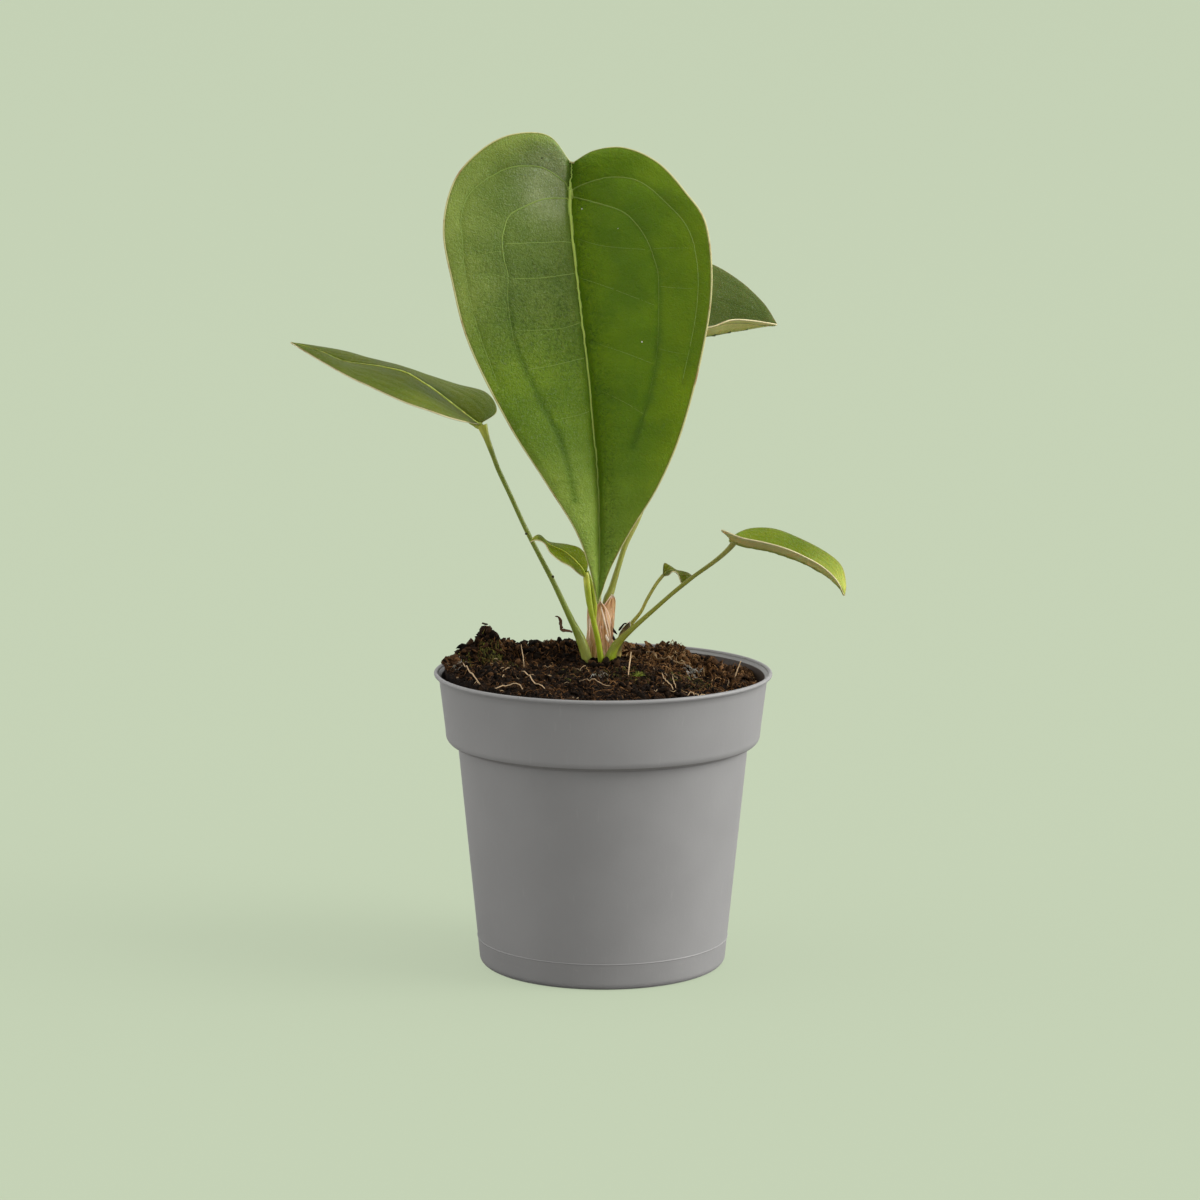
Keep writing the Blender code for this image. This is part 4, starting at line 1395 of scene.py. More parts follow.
class PLANT_OT_fibres(bpy.types.Operator):
    """Lay coir and root fibres, mats of them on the heaps, and the pale straws"""

    bl_idname = "plant.fibres"
    bl_label = "Fibres"

    def execute(self, context):
        draw = random.Random(FIBRE_SEED)
        coir = Bundle()
        for number in range(looks("soil_looks").fibres):
            x, y = random_place(draw, 5, SOIL_EDGE_RADIUS - 1.5)
            heap = heap_share(x, y)
            length = draw.uniform(2.0, 7.5) + 3 * heap
            lift = abs(draw.gauss(0.1, 0.4)) * (1 + 0.5 * heap)
            radius = draw.uniform(0.06, 0.15)
            route = soil_route(draw, x, y, length, 6, 0.35, lift)
            tone = clamp(draw.gauss(0.33 + 0.3 * coir_share(x, y), 0.2), 0, 0.95)
            coir.add_tube(route, [radius] * len(route), 3, tone)
        skin = loose_skin("coir", COIR_STOPS, 0.8)
        coir.make("coir_fibres", [skin], "potting_soil")

        mats = Bundle()
        for mat in COIR_MATS:
            lay_mat(mats, draw, *mat)
        mats.make("coir_mats", [skin], "potting_soil")

        straws = Bundle()
        for radius, tone, places in STRAWS:
            route = guide_steps(places, 12)
            for spot in route:
                spot.z += soil_relief(spot.x, spot.y) + radius
            radii = [0.68 * radius * (0.6 + 0.4 * math.sin(math.pi * step / 12)) for step in range(13)]
            straws.add_tube(route, radii, 6, tone)
        for number in range(SHORT_STRAWS):
            x, y = random_place(draw, 8, SOIL_EDGE_RADIUS - 2)
            route = soil_route(draw, x, y, draw.uniform(2, 6), 6, 0.12, 0.6)
            straws.add_tube(route, [draw.uniform(0.07, 0.15)] * len(route), 4, draw.uniform(0.55, 0.95))
        straw = looks("soil_looks").straw
        stops = ((0.3, scaled(straw, 0.35)), (1.0, opaque(straw)))
        straws.make("straws", [loose_skin("straw", stops, 0.6)], "potting_soil")
        return {"FINISHED"}


class PLANT_OT_moss(bpy.types.Operator):
    """Grow the moss star, the mossy strands and the pale tufts on the soil"""

    bl_idname = "plant.moss"
    bl_label = "Moss"

    def execute(self, context):
        draw = random.Random(MOSS_SEED)
        moss = Bundle()
        star_x, star_y, reach = MOSS_STAR
        ground = soil_height(star_x, star_y) + 0.3
        for ring, (count, rise, share) in enumerate(MOSS_STAR_RINGS):
            for number in range(count):
                angle = math.tau * (number + 0.4 * ring) / count + draw.uniform(-0.12, 0.12)
                out = reach * share * draw.uniform(0.85, 1.1)
                route = []
                for step in range(5):
                    along = step / 4
                    route.append(Vector((
                        star_x + out * along * math.cos(angle), star_y + out * along * math.sin(angle),
                        ground + 0.4 + rise * math.sin(along * 2.2) * 1.2,
                    )))
                radii = [0.05, 0.12, 0.15, 0.1, 0.02]
                moss.add_tube(route, radii, 4, 0.75 + 0.2 * share * draw.random(), None, 0.35)
        for x, y, radius, count, tone in MOSS_PATCHES:
            for number in range(count):
                spot_x, spot_y, away = place_near(draw, x, y, radius)
                length = draw.uniform(0.8, 2.4)
                route = soil_route(draw, spot_x, spot_y, length, 4, 0.5, abs(draw.gauss(0.3, 0.5)))
                shade = clamp(draw.gauss(tone, 0.15), 0, 0.8)
                moss.add_tube(route, [draw.uniform(0.07, 0.16)] * len(route), 3, shade)
        moss.make("moss", [loose_skin("moss_green", MOSS_STOPS, 0.7)], "potting_soil")

        tufts = Bundle()
        for x, y, count, tone in PALE_TUFTS:
            for number in range(count):
                route = soil_route(
                    draw, x + draw.gauss(0, 1.3), y + draw.gauss(0, 1.6),
                    draw.uniform(1.0, 3.0), 5, 0.7, draw.uniform(0.2, 1.3),
                )
                shade = clamp(draw.gauss(tone, 0.15))
                tufts.add_tube(route, [draw.uniform(0.05, 0.12)] * len(route), 3, shade)
        tufts.make("pale_tufts", [loose_skin("pale_threads", TUFT_STOPS, 0.7)], "potting_soil")
        return {"FINISHED"}


# Crown: the stock and the dry sheaths

def stock_skin():
    """The foot of the stalks: yellow-green above, brown rind towards the soil."""
    skin, tree, shader = new_skin("stock_rind")
    place = object_place(tree)
    rag = noise_at(tree, place, 420.0, 4.0, 0.6)
    inputs = {0: rag, 1: 0.0035, 2: axes(tree, place)["Z"]}
    level = add_node(tree, "ShaderNodeMath", inputs, operation="MULTIPLY_ADD").outputs[0]
    stops = ((0.0, srgb(52, 36, 22)), (0.4, srgb(104, 84, 40)), (1.0, srgb(150, 152, 62)))
    colour = ramp(tree, spread(tree, level, 0.1075, 0.1125), stops)
    streaks = noise_at(tree, stretch(tree, place, (1, 1, 0.2)), 900.0, 3.0)
    colour = mix_colours(tree, spread(tree, streaks, 0.5, 0.7, 0, 0.5), colour, srgb(92, 62, 38))
    set_inputs(tree, shader, {"Base Color": colour, "Roughness": 0.6})
    set_bump(tree, shader, streaks, 0.6, 0.0003)
    return skin


class PLANT_OT_stock(bpy.types.Operator):
    """Shape the ribbed stock where the stalks grow together"""

    bl_idname = "plant.stock"
    bl_label = "Stock"

    def execute(self, context):
        stock = turn_up("stock_foot", STOCK_RINGS, 72)
        for point in stock.data.vertices:
            place = point.co / MM
            angle = math.atan2(place.y, place.x)
            rib = 0.35 * math.sin(angle * 7) + 0.5 * noise.noise(Vector((angle * 1.6, place.z / 4, 1.0)))
            lump = 0.4 * noise.noise(Vector((place.x / 1.6, place.y / 1.6, place.z / 1.6)))
            scale = 1 + (rib + lump) / 9
            point.co.x = (place.x * scale + STOCK_CENTRE[0]) * MM
            point.co.y = (place.y * scale + STOCK_CENTRE[1]) * MM
            point.co.z = (place.z + 0.5 * lump) * MM
        smooth(stock)
        dress(stock, [stock_skin()], "stock_rind", "stock")
        return {"FINISHED"}


def sheath_skin(name, dark, middle, light):
    """Dry papery sheath: brown streaks, pale torn edges, greenish towards its foot."""
    skin, tree, shader = new_skin(name)
    place = sheet_place(tree)
    x, y = axes(tree, place)[:2]
    streaks = noise_at(tree, stretch(tree, place, (9, 0.8, 1)), 3.0, 4.0, 0.6)
    fine = noise_at(tree, stretch(tree, place, (40, 1.6, 1)), 3.0, 3.0, 0.6)
    blotch = noise_at(tree, object_place(tree), 260.0, 3.0, 0.6)
    colour = ramp(tree, spread(tree, streaks, 0.3, 0.7), ((0.0, dark), (0.45, middle), (1.0, light)))
    colour = mix_colours(tree, spread(tree, fine, 0.52, 0.7, 0, 0.5), colour, dark)
    colour = mix_colours(tree, spread(tree, y, 0.25, 0.03, 0, 0.7), colour, srgb(172, 158, 84))
    off_middle = math_node(tree, "ABSOLUTE", math_node(tree, "SUBTRACT", x, 0.5))
    rim = math_node(tree, "MAXIMUM", spread(tree, off_middle, 0.43, 0.5), spread(tree, y, 0.93, 1.0))
    colour = mix_colours(tree, product(tree, rim, 0.85), colour, srgb(238, 218, 196))
    colour = mix_colours(tree, spread(tree, blotch, 0.6, 0.75, 0, 0.6), colour, srgb(242, 224, 204))
    set_inputs(tree, shader, {
        "Base Color": colour, "Roughness": 0.5, "Subsurface Weight": 0.15, "Subsurface Scale": 0.001,
    })
    set_bump(tree, shader, fine, 0.5, 0.0003)
    return skin


def wrap_sheath(name, sheath, seed, columns, rows):
    """A papery sheet bent round an upright axis, narrowing to a torn point."""
    def surface(u, v):
        torn = 0.05 * noise.noise(Vector((u * 7, seed, 0))) * v
        climb = min(v * (1 + torn), 1.0)
        half = math.radians(sheath["half_arc"]) * max(1 - climb ** sheath["blunt"], 0.02)
        pleat = 0.16 * math.sin(u * 17 + seed) * (0.3 + climb)
        crumple = 0.5 * noise.noise(Vector((u * 3, v * 4, seed)))
        radius = sheath["radius"] * (1 - 0.12 * climb) + pleat + crumple * climb
        angle = math.radians(sheath["facing"]) + half * (2 * u - 1)
        x = sheath["axis"][0] + sheath["lean"][0] * climb ** 1.6 + radius * math.cos(angle)
        y = sheath["axis"][1] + sheath["lean"][1] * climb ** 1.6 + radius * math.sin(angle)
        return x, y, sheath["foot"] + (sheath["point"] - sheath["foot"]) * climb

    piece = lay_grid(name, columns, rows, surface)
    merge_doubles(piece)
    wall = piece.modifiers.new("thickness", "SOLIDIFY")
    wall.thickness = SHEATH_WALL * MM
    wall.offset = -1
    apply_all(piece)
    smooth(piece)
    return piece


class PLANT_OT_sheaths(bpy.types.Operator):
    """Wrap the dry papery sheaths round the foot of the stalks"""

    bl_idname = "plant.sheaths"
    bl_label = "Sheaths"

    def execute(self, context):
        skin = sheath_skin("dry_sheath", srgb(128, 82, 34), srgb(188, 138, 80), srgb(242, 206, 162))
        for number, (name, sheath) in enumerate(SHEATHS.items()):
            piece = wrap_sheath(name.replace("cataphyll", "sheath"), sheath, number * 5.3, 36, 48)
            dress(piece, [skin], "sheath_tan", name)
        olive = sheath_skin("olive_bract", srgb(50, 40, 18), srgb(92, 80, 34), srgb(128, 112, 56))
        bract = wrap_sheath("stalk_bract", BRACT, 2.2, 20, 24)
        dress(bract, [olive], "sheath_tan")
        # The pale folds, and one painted highlight among them
        folds_and_highlight = Bundle()
        for radius, tone, places in SHEATH_FOLDS_AND_HIGHLIGHT:
            route = guide_steps(places, 16)
            radii = [radius * (0.3 + 0.7 * math.sin(math.pi * step / 16)) for step in range(17)]
            folds_and_highlight.add_tube(route, radii, 6, tone, [Vector((0.2, -1, 0))] * 17, 0.5)
        stops = ((0.0, srgb(132, 88, 48)), (0.5, srgb(214, 170, 132)), (1.0, srgb(246, 230, 210)))
        folds_and_highlight.make("sheath_folds_and_highlight", [loose_skin("sheath_folds_and_highlight", stops, 0.5)], "sheath_tan")
        return {"FINISHED"}


class PLANT_OT_dry_bits(bpy.types.Operator):
    """Curl the dried bits of old sheath beside the crown"""

    bl_idname = "plant.dry_bits"
    bl_label = "Dry bits"

    def execute(self, context):
        bits = Bundle()
        for half_width, tone, places in DRY_BITS:
            radii = [
                half_width * (0.35 + 0.65 * math.sin(math.pi * (0.12 + 0.8 * step / 18)))
                * (1 + 0.3 * noise.noise(Vector((step * 0.9, tone * 9, 0))))
                for step in range(19)
            ]
            ups = [
                Vector((math.sin(step * 0.22), -0.9, math.cos(step * 0.22))).normalized()
                for step in range(19)
            ]
            bits.add_tube(guide_steps(places, 18), radii, 8, tone, ups, 0.3)
        bits.make("dry_bits", [loose_skin("dried_bits", DRIED_STOPS, 0.6)], "sheath_tan")
        return {"FINISHED"}


# Stalks

def carried_frames(route, samples):
    """Points along a route, each with its radius and two ways across that don't twist."""
    spots = guide_steps(route, samples)
    points = [spot.to_3d() for spot in spots]
    frames = []
    side = None
    for index, point in enumerate(points):
        ahead = points[min(index + 1, samples)] - points[max(index - 1, 0)]
        ahead.normalize()
        if side is None:
            side = ahead.cross(Vector((0, -1, 0.2)))
        side = (side - ahead * side.dot(ahead)).normalized()
        frames.append((point, spots[index][3], side, side.cross(ahead)))
    return frames


def stalk_skin(name, tones):
    """A leaf stalk: its colour changes from foot to top, with fine long lines."""
    skin, tree, shader = new_skin(name)
    across = sheet_place(tree)
    wander = spread(tree, noise_at(tree, object_place(tree), 160.0, 3.0), 0.3, 0.7, -0.07, 0.07)
    along = total(tree, axes(tree, across)["Y"], wander)
    foot, middle, top = [srgb(*tone) for tone in tones]
    colour = ramp(tree, along, ((0.02, foot), (0.3, middle), (0.75, middle), (1.0, top)))
    lines = noise_at(tree, stretch(tree, across, (26, 3, 1)), 2.0, 3.0, 0.6)
    darker = tinted(tree, colour, (0.55, 0.5, 0.5))
    colour = mix_colours(tree, spread(tree, lines, 0.5, 0.68, 0, 0.75), colour, darker)
    specks = spread(tree, noise_at(tree, object_place(tree), 2600.0, 1.0), 0.68, 0.76, 0, 0.4)
    colour = mix_colours(tree, specks, colour, srgb(190, 190, 130))
    set_inputs(tree, shader, {
        "Base Color": colour, "Roughness": 0.42, "Subsurface Weight": 0.12, "Subsurface Scale": 0.001,
    })
    set_bump(tree, shader, lines, 0.35, 0.0002)
    return skin


def stalk_tube(name, route, columns=16, rows=90):
    """A stalk as a rolled grid: grooved above and faintly ribbed, with closed ends."""
    frames = carried_frames(route, rows)

    def surface(u, v):
        point, radius, side, lift = frames[round(v * rows)]
        angle = math.tau * u
        groove = 1 - 0.1 * math.exp(-((u - 0.25) / 0.09) ** 2) * smoothstep(0.1, 0.3, v)
        ripple = 1 + 0.04 * noise.noise(Vector((u * 4, v * 40, radius)))
        reach = side * math.cos(angle) + lift * math.sin(angle)
        return point + reach * (radius * groove * ripple)

    piece = lay_grid(name, columns, rows, surface)
    merge_doubles(piece, 0.002)
    edit_all(piece)
    bpy.ops.mesh.fill_holes(sides=0)
    bpy.ops.mesh.normals_make_consistent(inside=False)
    close_edit()
    smooth(piece)
    return piece


class PLANT_OT_stalks(bpy.types.Operator):
    """Grow the grooved leaf stalks from the stock to their blades"""

    bl_idname = "plant.stalks"
    bl_label = "Stalks"

    def execute(self, context):
        for name, stalk in STALKS.items():
            piece = stalk_tube(name.replace("petiole", "stalk"), stalk["route"])
            skin = stalk_skin(piece.name + "_skin", stalk["tones"])
            dress(piece, [skin], "stalk_green", name)
            if name == "leaf_6_petiole":
                flange = stalk_tube("leaf_6_flange", YOUNG_FLANGE, 12, 40)
                dress(flange, [skin], "stalk_green")
        knots = Bundle()
        for share, side in STALK_KNOTS:
            spot = guide(STALKS["leaf_3_petiole"]["route"], share)
            centre = spot.to_3d() + Vector((0.55 * side, -0.6, 0))
            route = [
                centre + Vector((0.125 * side * step, 0, 0.9 * (step / 4 - 0.5))) for step in range(5)
            ]
            knots.add_tube(route, [0.1, 0.42, 0.5, 0.36, 0.1], 6, 0.2)
        stops = ((0.0, (0.03, 0.02, 0.008, 1)), (1.0, (0.12, 0.09, 0.03, 1)))
        knots.make("stalk_knots", [loose_skin("stalk_knots", stops, 0.6)], "stalk_green")
        return {"FINISHED"}


# Blades

def blade_row(leaf, side, place):
    """The midrib's point, the way out to the margin and the bulge between, at a place."""
    inner = guide(leaf["midrib"], place)
    outer = guide(leaf[side], place)
    across = outer - inner
    onward = guide(leaf["midrib"], place + 0.02) - guide(leaf["midrib"], place - 0.02)
    rise = across.cross(onward) if side == "right" else onward.cross(across)
    rise = rise.normalized() * leaf["bulge"] * min(across.length / 20, 1)
    return inner, across, rise


def blade_point(row, share):
    inner, across, rise = row
    return inner + across * share + rise * 4 * share * (1 - share)


def blade_sheet(name, leaf, columns, rows):
    """The upper side of a blade, with each point's distance to the margin, and its share
    of the way out: -1 at the left margin, 0 on the midrib and 1 at the right margin."""
    lines = [
        {side: blade_row(leaf, side, step / rows) for side in MARGINS} for step in range(rows + 1)
    ]
    edges = []
    halves = []

    def surface(u, v):
        half = 2 * u - 1
        share = abs(half)
        row = lines[round(v * rows)]["left" if u < 0.5 else "right"]
        edges.append((1 - share) * row[1].length)
        halves.append(half)
        return blade_point(row, share)

    return lay_grid(name, columns, rows, surface), edges, halves


def ruled_veins(leaf, size):
    """Veins of a leaf by rule: arcs along each half and cross veins between."""
    veins = []
    for side in MARGINS:
        rows = [blade_row(leaf, side, step / 40) for step in range(41)]
        for reach, radius in VEIN_ARCS:
            path = []
            for step in range(2, 39):
                place = step / 40
                share = reach * min(1, (1 - place) / 0.12, place / 0.25)
                path.append(blade_point(rows[step], share))
            # Each vein's last pair is the painted shade along it at its start and end
            veins.append((radius * size, path, (0.25, 0.25)))
        for step in (9, 14, 19, 24, 29):
            path = [blade_point(rows[step + round(3 * share)], share) for share in (0.02, 0.2, 0.35, 0.5)]
            veins.append((0.07 * size, path, (0.2, 0.1)))
    return veins


def sample_path(points, spacing):
    """Points at even steps of a smooth curve through guide points."""
    length = sum((Vector(b) - Vector(a)).length for a, b in zip(points, points[1:]))
    steps = max(int(length / spacing), 4)
    return [guide(points, step / steps) for step in range(steps + 1)]


def settle(tree, spot):
    """The nearest point of a sheet, with the way out of it."""
    found = tree.find_nearest(spot * MM)
    return found[0] / MM, found[1]


def settled_path(tree, points, spacing):
    return [settle(tree, spot) for spot in sample_path(points, spacing)]


def leaf_group():
    """Leaf colour with light painted in: soft blotches, fine stipple, wrinkles with painted
    shade in their pits and painted highlights on their crests, painted shade along the vein hollows, veins
    and a brown line at the edge."""
    if "leaf_colour_and_painted_light" in bpy.data.node_groups:
        return bpy.data.node_groups["leaf_colour_and_painted_light"]
    tree, put_in, put_out = new_group(
        "leaf_colour_and_painted_light",
        [
            ("Place", "vector", None), ("Base", "colour", (0.06, 0.13, 0.01, 1)),
            ("Vein tint", "colour", (0.3, 0.4, 0.06, 1)), ("Edge tint", "colour", (0.2, 0.09, 0.05, 1)),
            ("Vein", "float", 0.0), ("Edge", "float", 0.0), ("Stipple", "float", 0.2),
            ("Crumple", "float", 0.1), ("Painted crease shade", "float", 0.0),
        ],
        [("Color", "colour"), ("Height", "float"), ("Roughness", "float")],
    )
    given = put_in.outputs
    place = given["Place"]
    blotch = noise_at(tree, place, 55.0, 4.0, 0.55)
    dark = tinted(tree, given["Base"], (0.82, 0.86, 0.7))
    light = tinted(tree, given["Base"], (1.18, 1.12, 1.15))
    colour = mix_colours(tree, spread(tree, blotch, 0.3, 0.7), dark, light)
    wrinkle = noise_at(tree, place, 900.0, 3.0, 0.65, 0.8)
    # Painted shade in the wrinkles' pits and painted highlights on their crests, over the same wrinkles as
    # the bump
    painted_pit_shade = product(tree, spread(tree, wrinkle, 0.5, 0.36), given["Crumple"])
    painted_crest_highlight = product(tree, spread(tree, wrinkle, 0.52, 0.68), given["Crumple"])
    pit_shaded = mix_colours(tree, painted_pit_shade, colour, tinted(tree, colour, (0.55, 0.6, 0.5)))
    colour = mix_colours(tree, painted_crest_highlight, pit_shaded, tinted(tree, colour, (1.4, 1.28, 2.0)))
    fine = noise_at(tree, place, 1700.0, 2.0, 0.6)
    pale = mix_colours(tree, 0.35, colour, (0.42, 0.46, 0.36, 1))
    stipple = product(tree, spread(tree, fine, 0.52, 0.68), given["Stipple"])
    colour = mix_colours(tree, stipple, colour, pale)
    # Painted shade along the vein hollows
    colour = mix_colours(tree, given["Painted crease shade"], colour, tinted(tree, colour, (0.5, 0.6, 0.3)))
    colour = mix_colours(tree, given["Vein"], colour, given["Vein tint"])
    colour = mix_colours(tree, given["Edge"], colour, given["Edge tint"])
    rough_part = product(tree, wrinkle, total(tree, given["Crumple"], 0.25))
    height = total(tree, rough_part, product(tree, fine, 0.25))
    shine = spread(tree, blotch, 0.25, 0.75, 0.4, 0.5)
    set_inputs(tree, put_out, {"Color": colour, "Height": height, "Roughness": shine})
    return tree


def big_leaf_colour(tree, painted_tints):
    """The big leaf's colour, with light painted in: its left half greyed by painted sheen,
    its right half and outer right saturated by painted light shining through, the lower
    left, the left edge lighter with painted sheen, and the painted sheen by the notch."""
    half = read_value(tree, "half")
    # Left half greyed by painted sheen, lighter still towards the left edge
    left = mix_colours(tree, spread(tree, half, -0.55, -1.0, 0, 0.8), painted_tints["left"], painted_tints["sheen_left_edge"])
    low = product(tree, spread(tree, read_value(tree, "along"), 0.5, 0.36), 0.9)
    left = mix_colours(tree, low, left, painted_tints["low_left"])
    # Right half saturated by painted light shining through, yellower towards the outer right
    colour = mix_colours(tree, spread(tree, half, -0.03, 0.03), left, painted_tints["right"])
    colour = mix_colours(tree, spread(tree, half, 0.5, 1.0, 0, 0.85), colour, painted_tints["outer_right"])
    # Painted sheen by the notch
    painted_sheen_haze = spread(tree, read_value(tree, "painted_sheen"), 0.3, 0.95, 0, 0.5)
    return mix_colours(tree, painted_sheen_haze, colour, painted_tints["painted_sheen_haze"])


def leaf_skin(name, base, edge, stipple, painted_tints=None, gloss=0.16, tip=None, through=0.1):
    """A blade's face: base is its colour where it has no light painted in. A lighter colour
    comes in towards the tip from one share of the length to another, and through is how much light passes."""
    skin, tree, shader = new_skin(name)
    # The big leaf takes its colours with light painted in, and its stipple from the painted sheen
    if painted_tints:
        base = big_leaf_colour(tree, painted_tints)
        stipple = read_value(tree, "painted_sheen")
    if tip:
        tip_colour, start, full, strength = tip
        share = spread(tree, read_value(tree, "along"), start, full, 0, strength)
        if painted_tints:
            on_left = spread(tree, read_value(tree, "half"), -0.03, 0.03, 1, 0.3)
            share = product(tree, share, on_left)
        base = mix_colours(tree, share, base, tip_colour)
    leaf_paint = place_group(tree, leaf_group(), {
        "Place": object_place(tree), "Base": base, "Edge tint": edge,
        "Edge": read_value(tree, "edge"), "Stipple": stipple,
        "Crumple": read_value(tree, "crumple") if painted_tints else 0.12, "Painted crease shade": read_value(tree, "painted_crease_shade"),
    })
    set_inputs(tree, shader, {
        "Base Color": leaf_paint["Color"], "Roughness": leaf_paint["Roughness"],
        "Specular IOR Level": gloss, "Subsurface Weight": through, "Subsurface Scale": 0.0012,
    })
    set_bump(tree, shader, leaf_paint["Height"], 1.0, 0.0009)
    return skin


def vein_skin(name, base, tint):
    """Veins take the leaf's own colour where they fade out."""
    skin, tree, shader = new_skin(name)
    leaf_paint = place_group(tree, leaf_group(), {
        "Place": object_place(tree), "Base": base, "Vein tint": tint,
        "Vein": read_value(tree, "tone"), "Stipple": 0.1,
    })
    set_inputs(tree, shader, {
        "Base Color": leaf_paint["Color"], "Roughness": 0.42, "Specular IOR Level": 0.25,
        "Subsurface Weight": 0.15, "Subsurface Scale": 0.001,
    })
    return skin


def radius_at(profile, share):
    """Radius at a share of the length, from (share, radius) pairs."""
    return float(np.interp(share, [pair[0] for pair in profile], [pair[1] for pair in profile]))


def press_relief(sheet, leaf, veins, relief, pebble, edges):
    """Press vein hollows, soft cushions and pebbling into a blade. Gives each point's
    share of painted shade along the vein hollows and its distance from the midrib."""
    midrib = sample_path(leaf["midrib"], 0.8)
    # Hollows: width, depth, path, and the share of painted shade along it at its start and end
    tracks = [(1.5, 1.0, midrib, (0.45, 0.6))]
    for radius, path, crease_shades in veins:
        tracks.append((radius * 5, min(radius / 0.2, 1) * 0.7, sample_path(path, 0.8), crease_shades))
    ribs = KDTree(len(midrib))
    for index, spot in enumerate(midrib):
        ribs.insert(spot, index)
    ribs.balance()
    near = KDTree(sum(len(path) for width, depth, path, crease_shades in tracks))
    owners = []
    for width, depth, path, crease_shades in tracks:
        last = len(path) - 1
        for index, spot in enumerate(path):
            painted_crease_shade = crease_shades[0] + (crease_shades[1] - crease_shades[0]) * index / last
            near.insert(spot, len(owners))
            owners.append((width, depth, painted_crease_shade))
    near.balance()
    painted_shades = []
    nears = []
    normals = [point.normal.copy() for point in sheet.data.vertices]
    for point, normal, edge in zip(sheet.data.vertices, normals, edges):
        place = point.co / MM
        spot, index, away = near.find(place)
        width, depth, painted_crease_shade = owners[index]
        hollow = math.exp(-(away / width) ** 2) * depth
        cushion = 1 - math.exp(-(away / (relief * 9)) ** 2)
        calm = min(edge / 3, 1)
        grain = pebble * (noise.noise(place) + 0.7 * noise.noise(place * 1.9))
        swell = noise.noise(place / 6) * 0.3 * relief
        point.co += normal * calm * (relief * (0.6 * cushion - 0.7 * hollow) + swell + grain) * MM
        # Painted shade, strongest over the hollow of a vein
        painted_shades.append(max(painted_crease_shade, 0.0) * math.exp(-(away / (width * 1.25)) ** 2))
        nears.append(ribs.find(place)[2])
    return painted_shades, nears


def mark_blade(sheet, rows, edges, halves, painted_shades, nears):
    """Store for each point what the blade's material reads: its painted crease shade, edge,
    half and share of the length, its painted sheen, and its wrinkles with their painted shade and
    highlight."""
    painted_sheens = []
    crumples = []
    for point, half, from_rib in zip(sheet.data.vertices, halves, nears):
        place = point.co / MM
        left = smoothstep(0.02, -0.02, half)
        to_sheen_middle = (place - Vector(PAINTED_SHEEN_MIDDLE)).length
        to_wrinkles = (place - Vector(WRINKLE_MIDDLE)).length
        away_from_rib = smoothstep(0.6, 2.6, from_rib)
        # Painted sheen: a little everywhere, more over the left half and most by the notch
        painted_sheen = 0.08 + left * (0.2 + 0.75 * math.exp(-(to_sheen_middle / 13) ** 2))
        crumple = left * (0.25 + 0.6 * math.exp(-(to_wrinkles / 26) ** 2))
        crumple += (1 - left) * (0.12 + 0.75 * math.exp(-(from_rib / 8) ** 2))
        painted_sheens.append(painted_sheen * away_from_rib)
        crumples.append(crumple * away_from_rib)
    across = len(halves) // (rows + 1)
    keep_values(sheet, "painted_crease_shade", painted_shades)
    keep_values(sheet, "edge", [0.4 * math.exp(-((edge - 0.3) / 0.3) ** 2) for edge in edges])
    keep_values(sheet, "half", halves)
    keep_values(sheet, "along", [index // across / rows for index in range(len(halves))])
    keep_values(sheet, "painted_sheen", painted_sheens)
    keep_values(sheet, "crumple", crumples)


def raise_line(lines, placed, radii, tones, wall, sides, lift, swell):
    """A raised line on a blade: a flat tube above, and a round one below if it swells."""
    ups = [up for spot, up in placed]
    above = [spot + up * (lift * size) for (spot, up), size in zip(placed, radii)]
    lines.add_tube(above, radii, sides, tones, ups, 0.6)
    if swell:
        below = [spot - up * (wall + 0.1 * size) for (spot, up), size in zip(placed, radii)]
        faint = [0.6 * tone for tone in tones]
        lines.add_tube(below, [size * swell for size in radii], 6, faint, ups)


def raise_veins(tree, leaf, veins, midrib, wall):
    """The midrib, brightest towards the notch, and the side veins, thinner where painted shade lies over
    their hollows.
    """
    lines = Bundle()
    placed = settled_path(tree, leaf["midrib"], 1.1)
    last = len(placed) - 1
    radii = [radius_at(midrib, index / last) for index in range(last + 1)]
    tones = [0.35 + 0.65 * smoothstep(0.2, 0.5, index / last) for index in range(last + 1)]
    raise_line(lines, placed, radii, tones, wall, 8, 0.6, 1.9)
    for radius, path, (start, end) in veins:
        placed = settled_path(tree, path, 1.1)
        last = len(placed) - 1
        radii = []
        for index in range(last + 1):
            share = index / last
            painted_crease_shade = start + (end - start) * share
            radii.append(radius * (1 - 0.4 * share) * clamp(1.1 - 1.5 * painted_crease_shade, 0.1))
        tones = [0.2 * min(radius / 0.2, 1)] * (last + 1)
        raise_line(lines, placed, radii, tones, wall, 6, 0.1, 1.1 if radius >= 0.1 else 0)
    return lines


def round_margins(tree, leaf, wall, trim):
    """The thin rounded edge along both margins."""
    rim = Bundle()
    for side in MARGINS:
        placed = settled_path(tree, leaf[side], 0.9)
        route = [spot - up * (wall / 2) for spot, up in placed]
        last = len(placed) - 1
        radii = [trim * (1 + 0.2 * math.sin(math.pi * index / last)) for index in range(last + 1)]
        rim.add_tube(route, radii, 6, 0.6, [up for spot, up in placed], 0.9)
    return rim


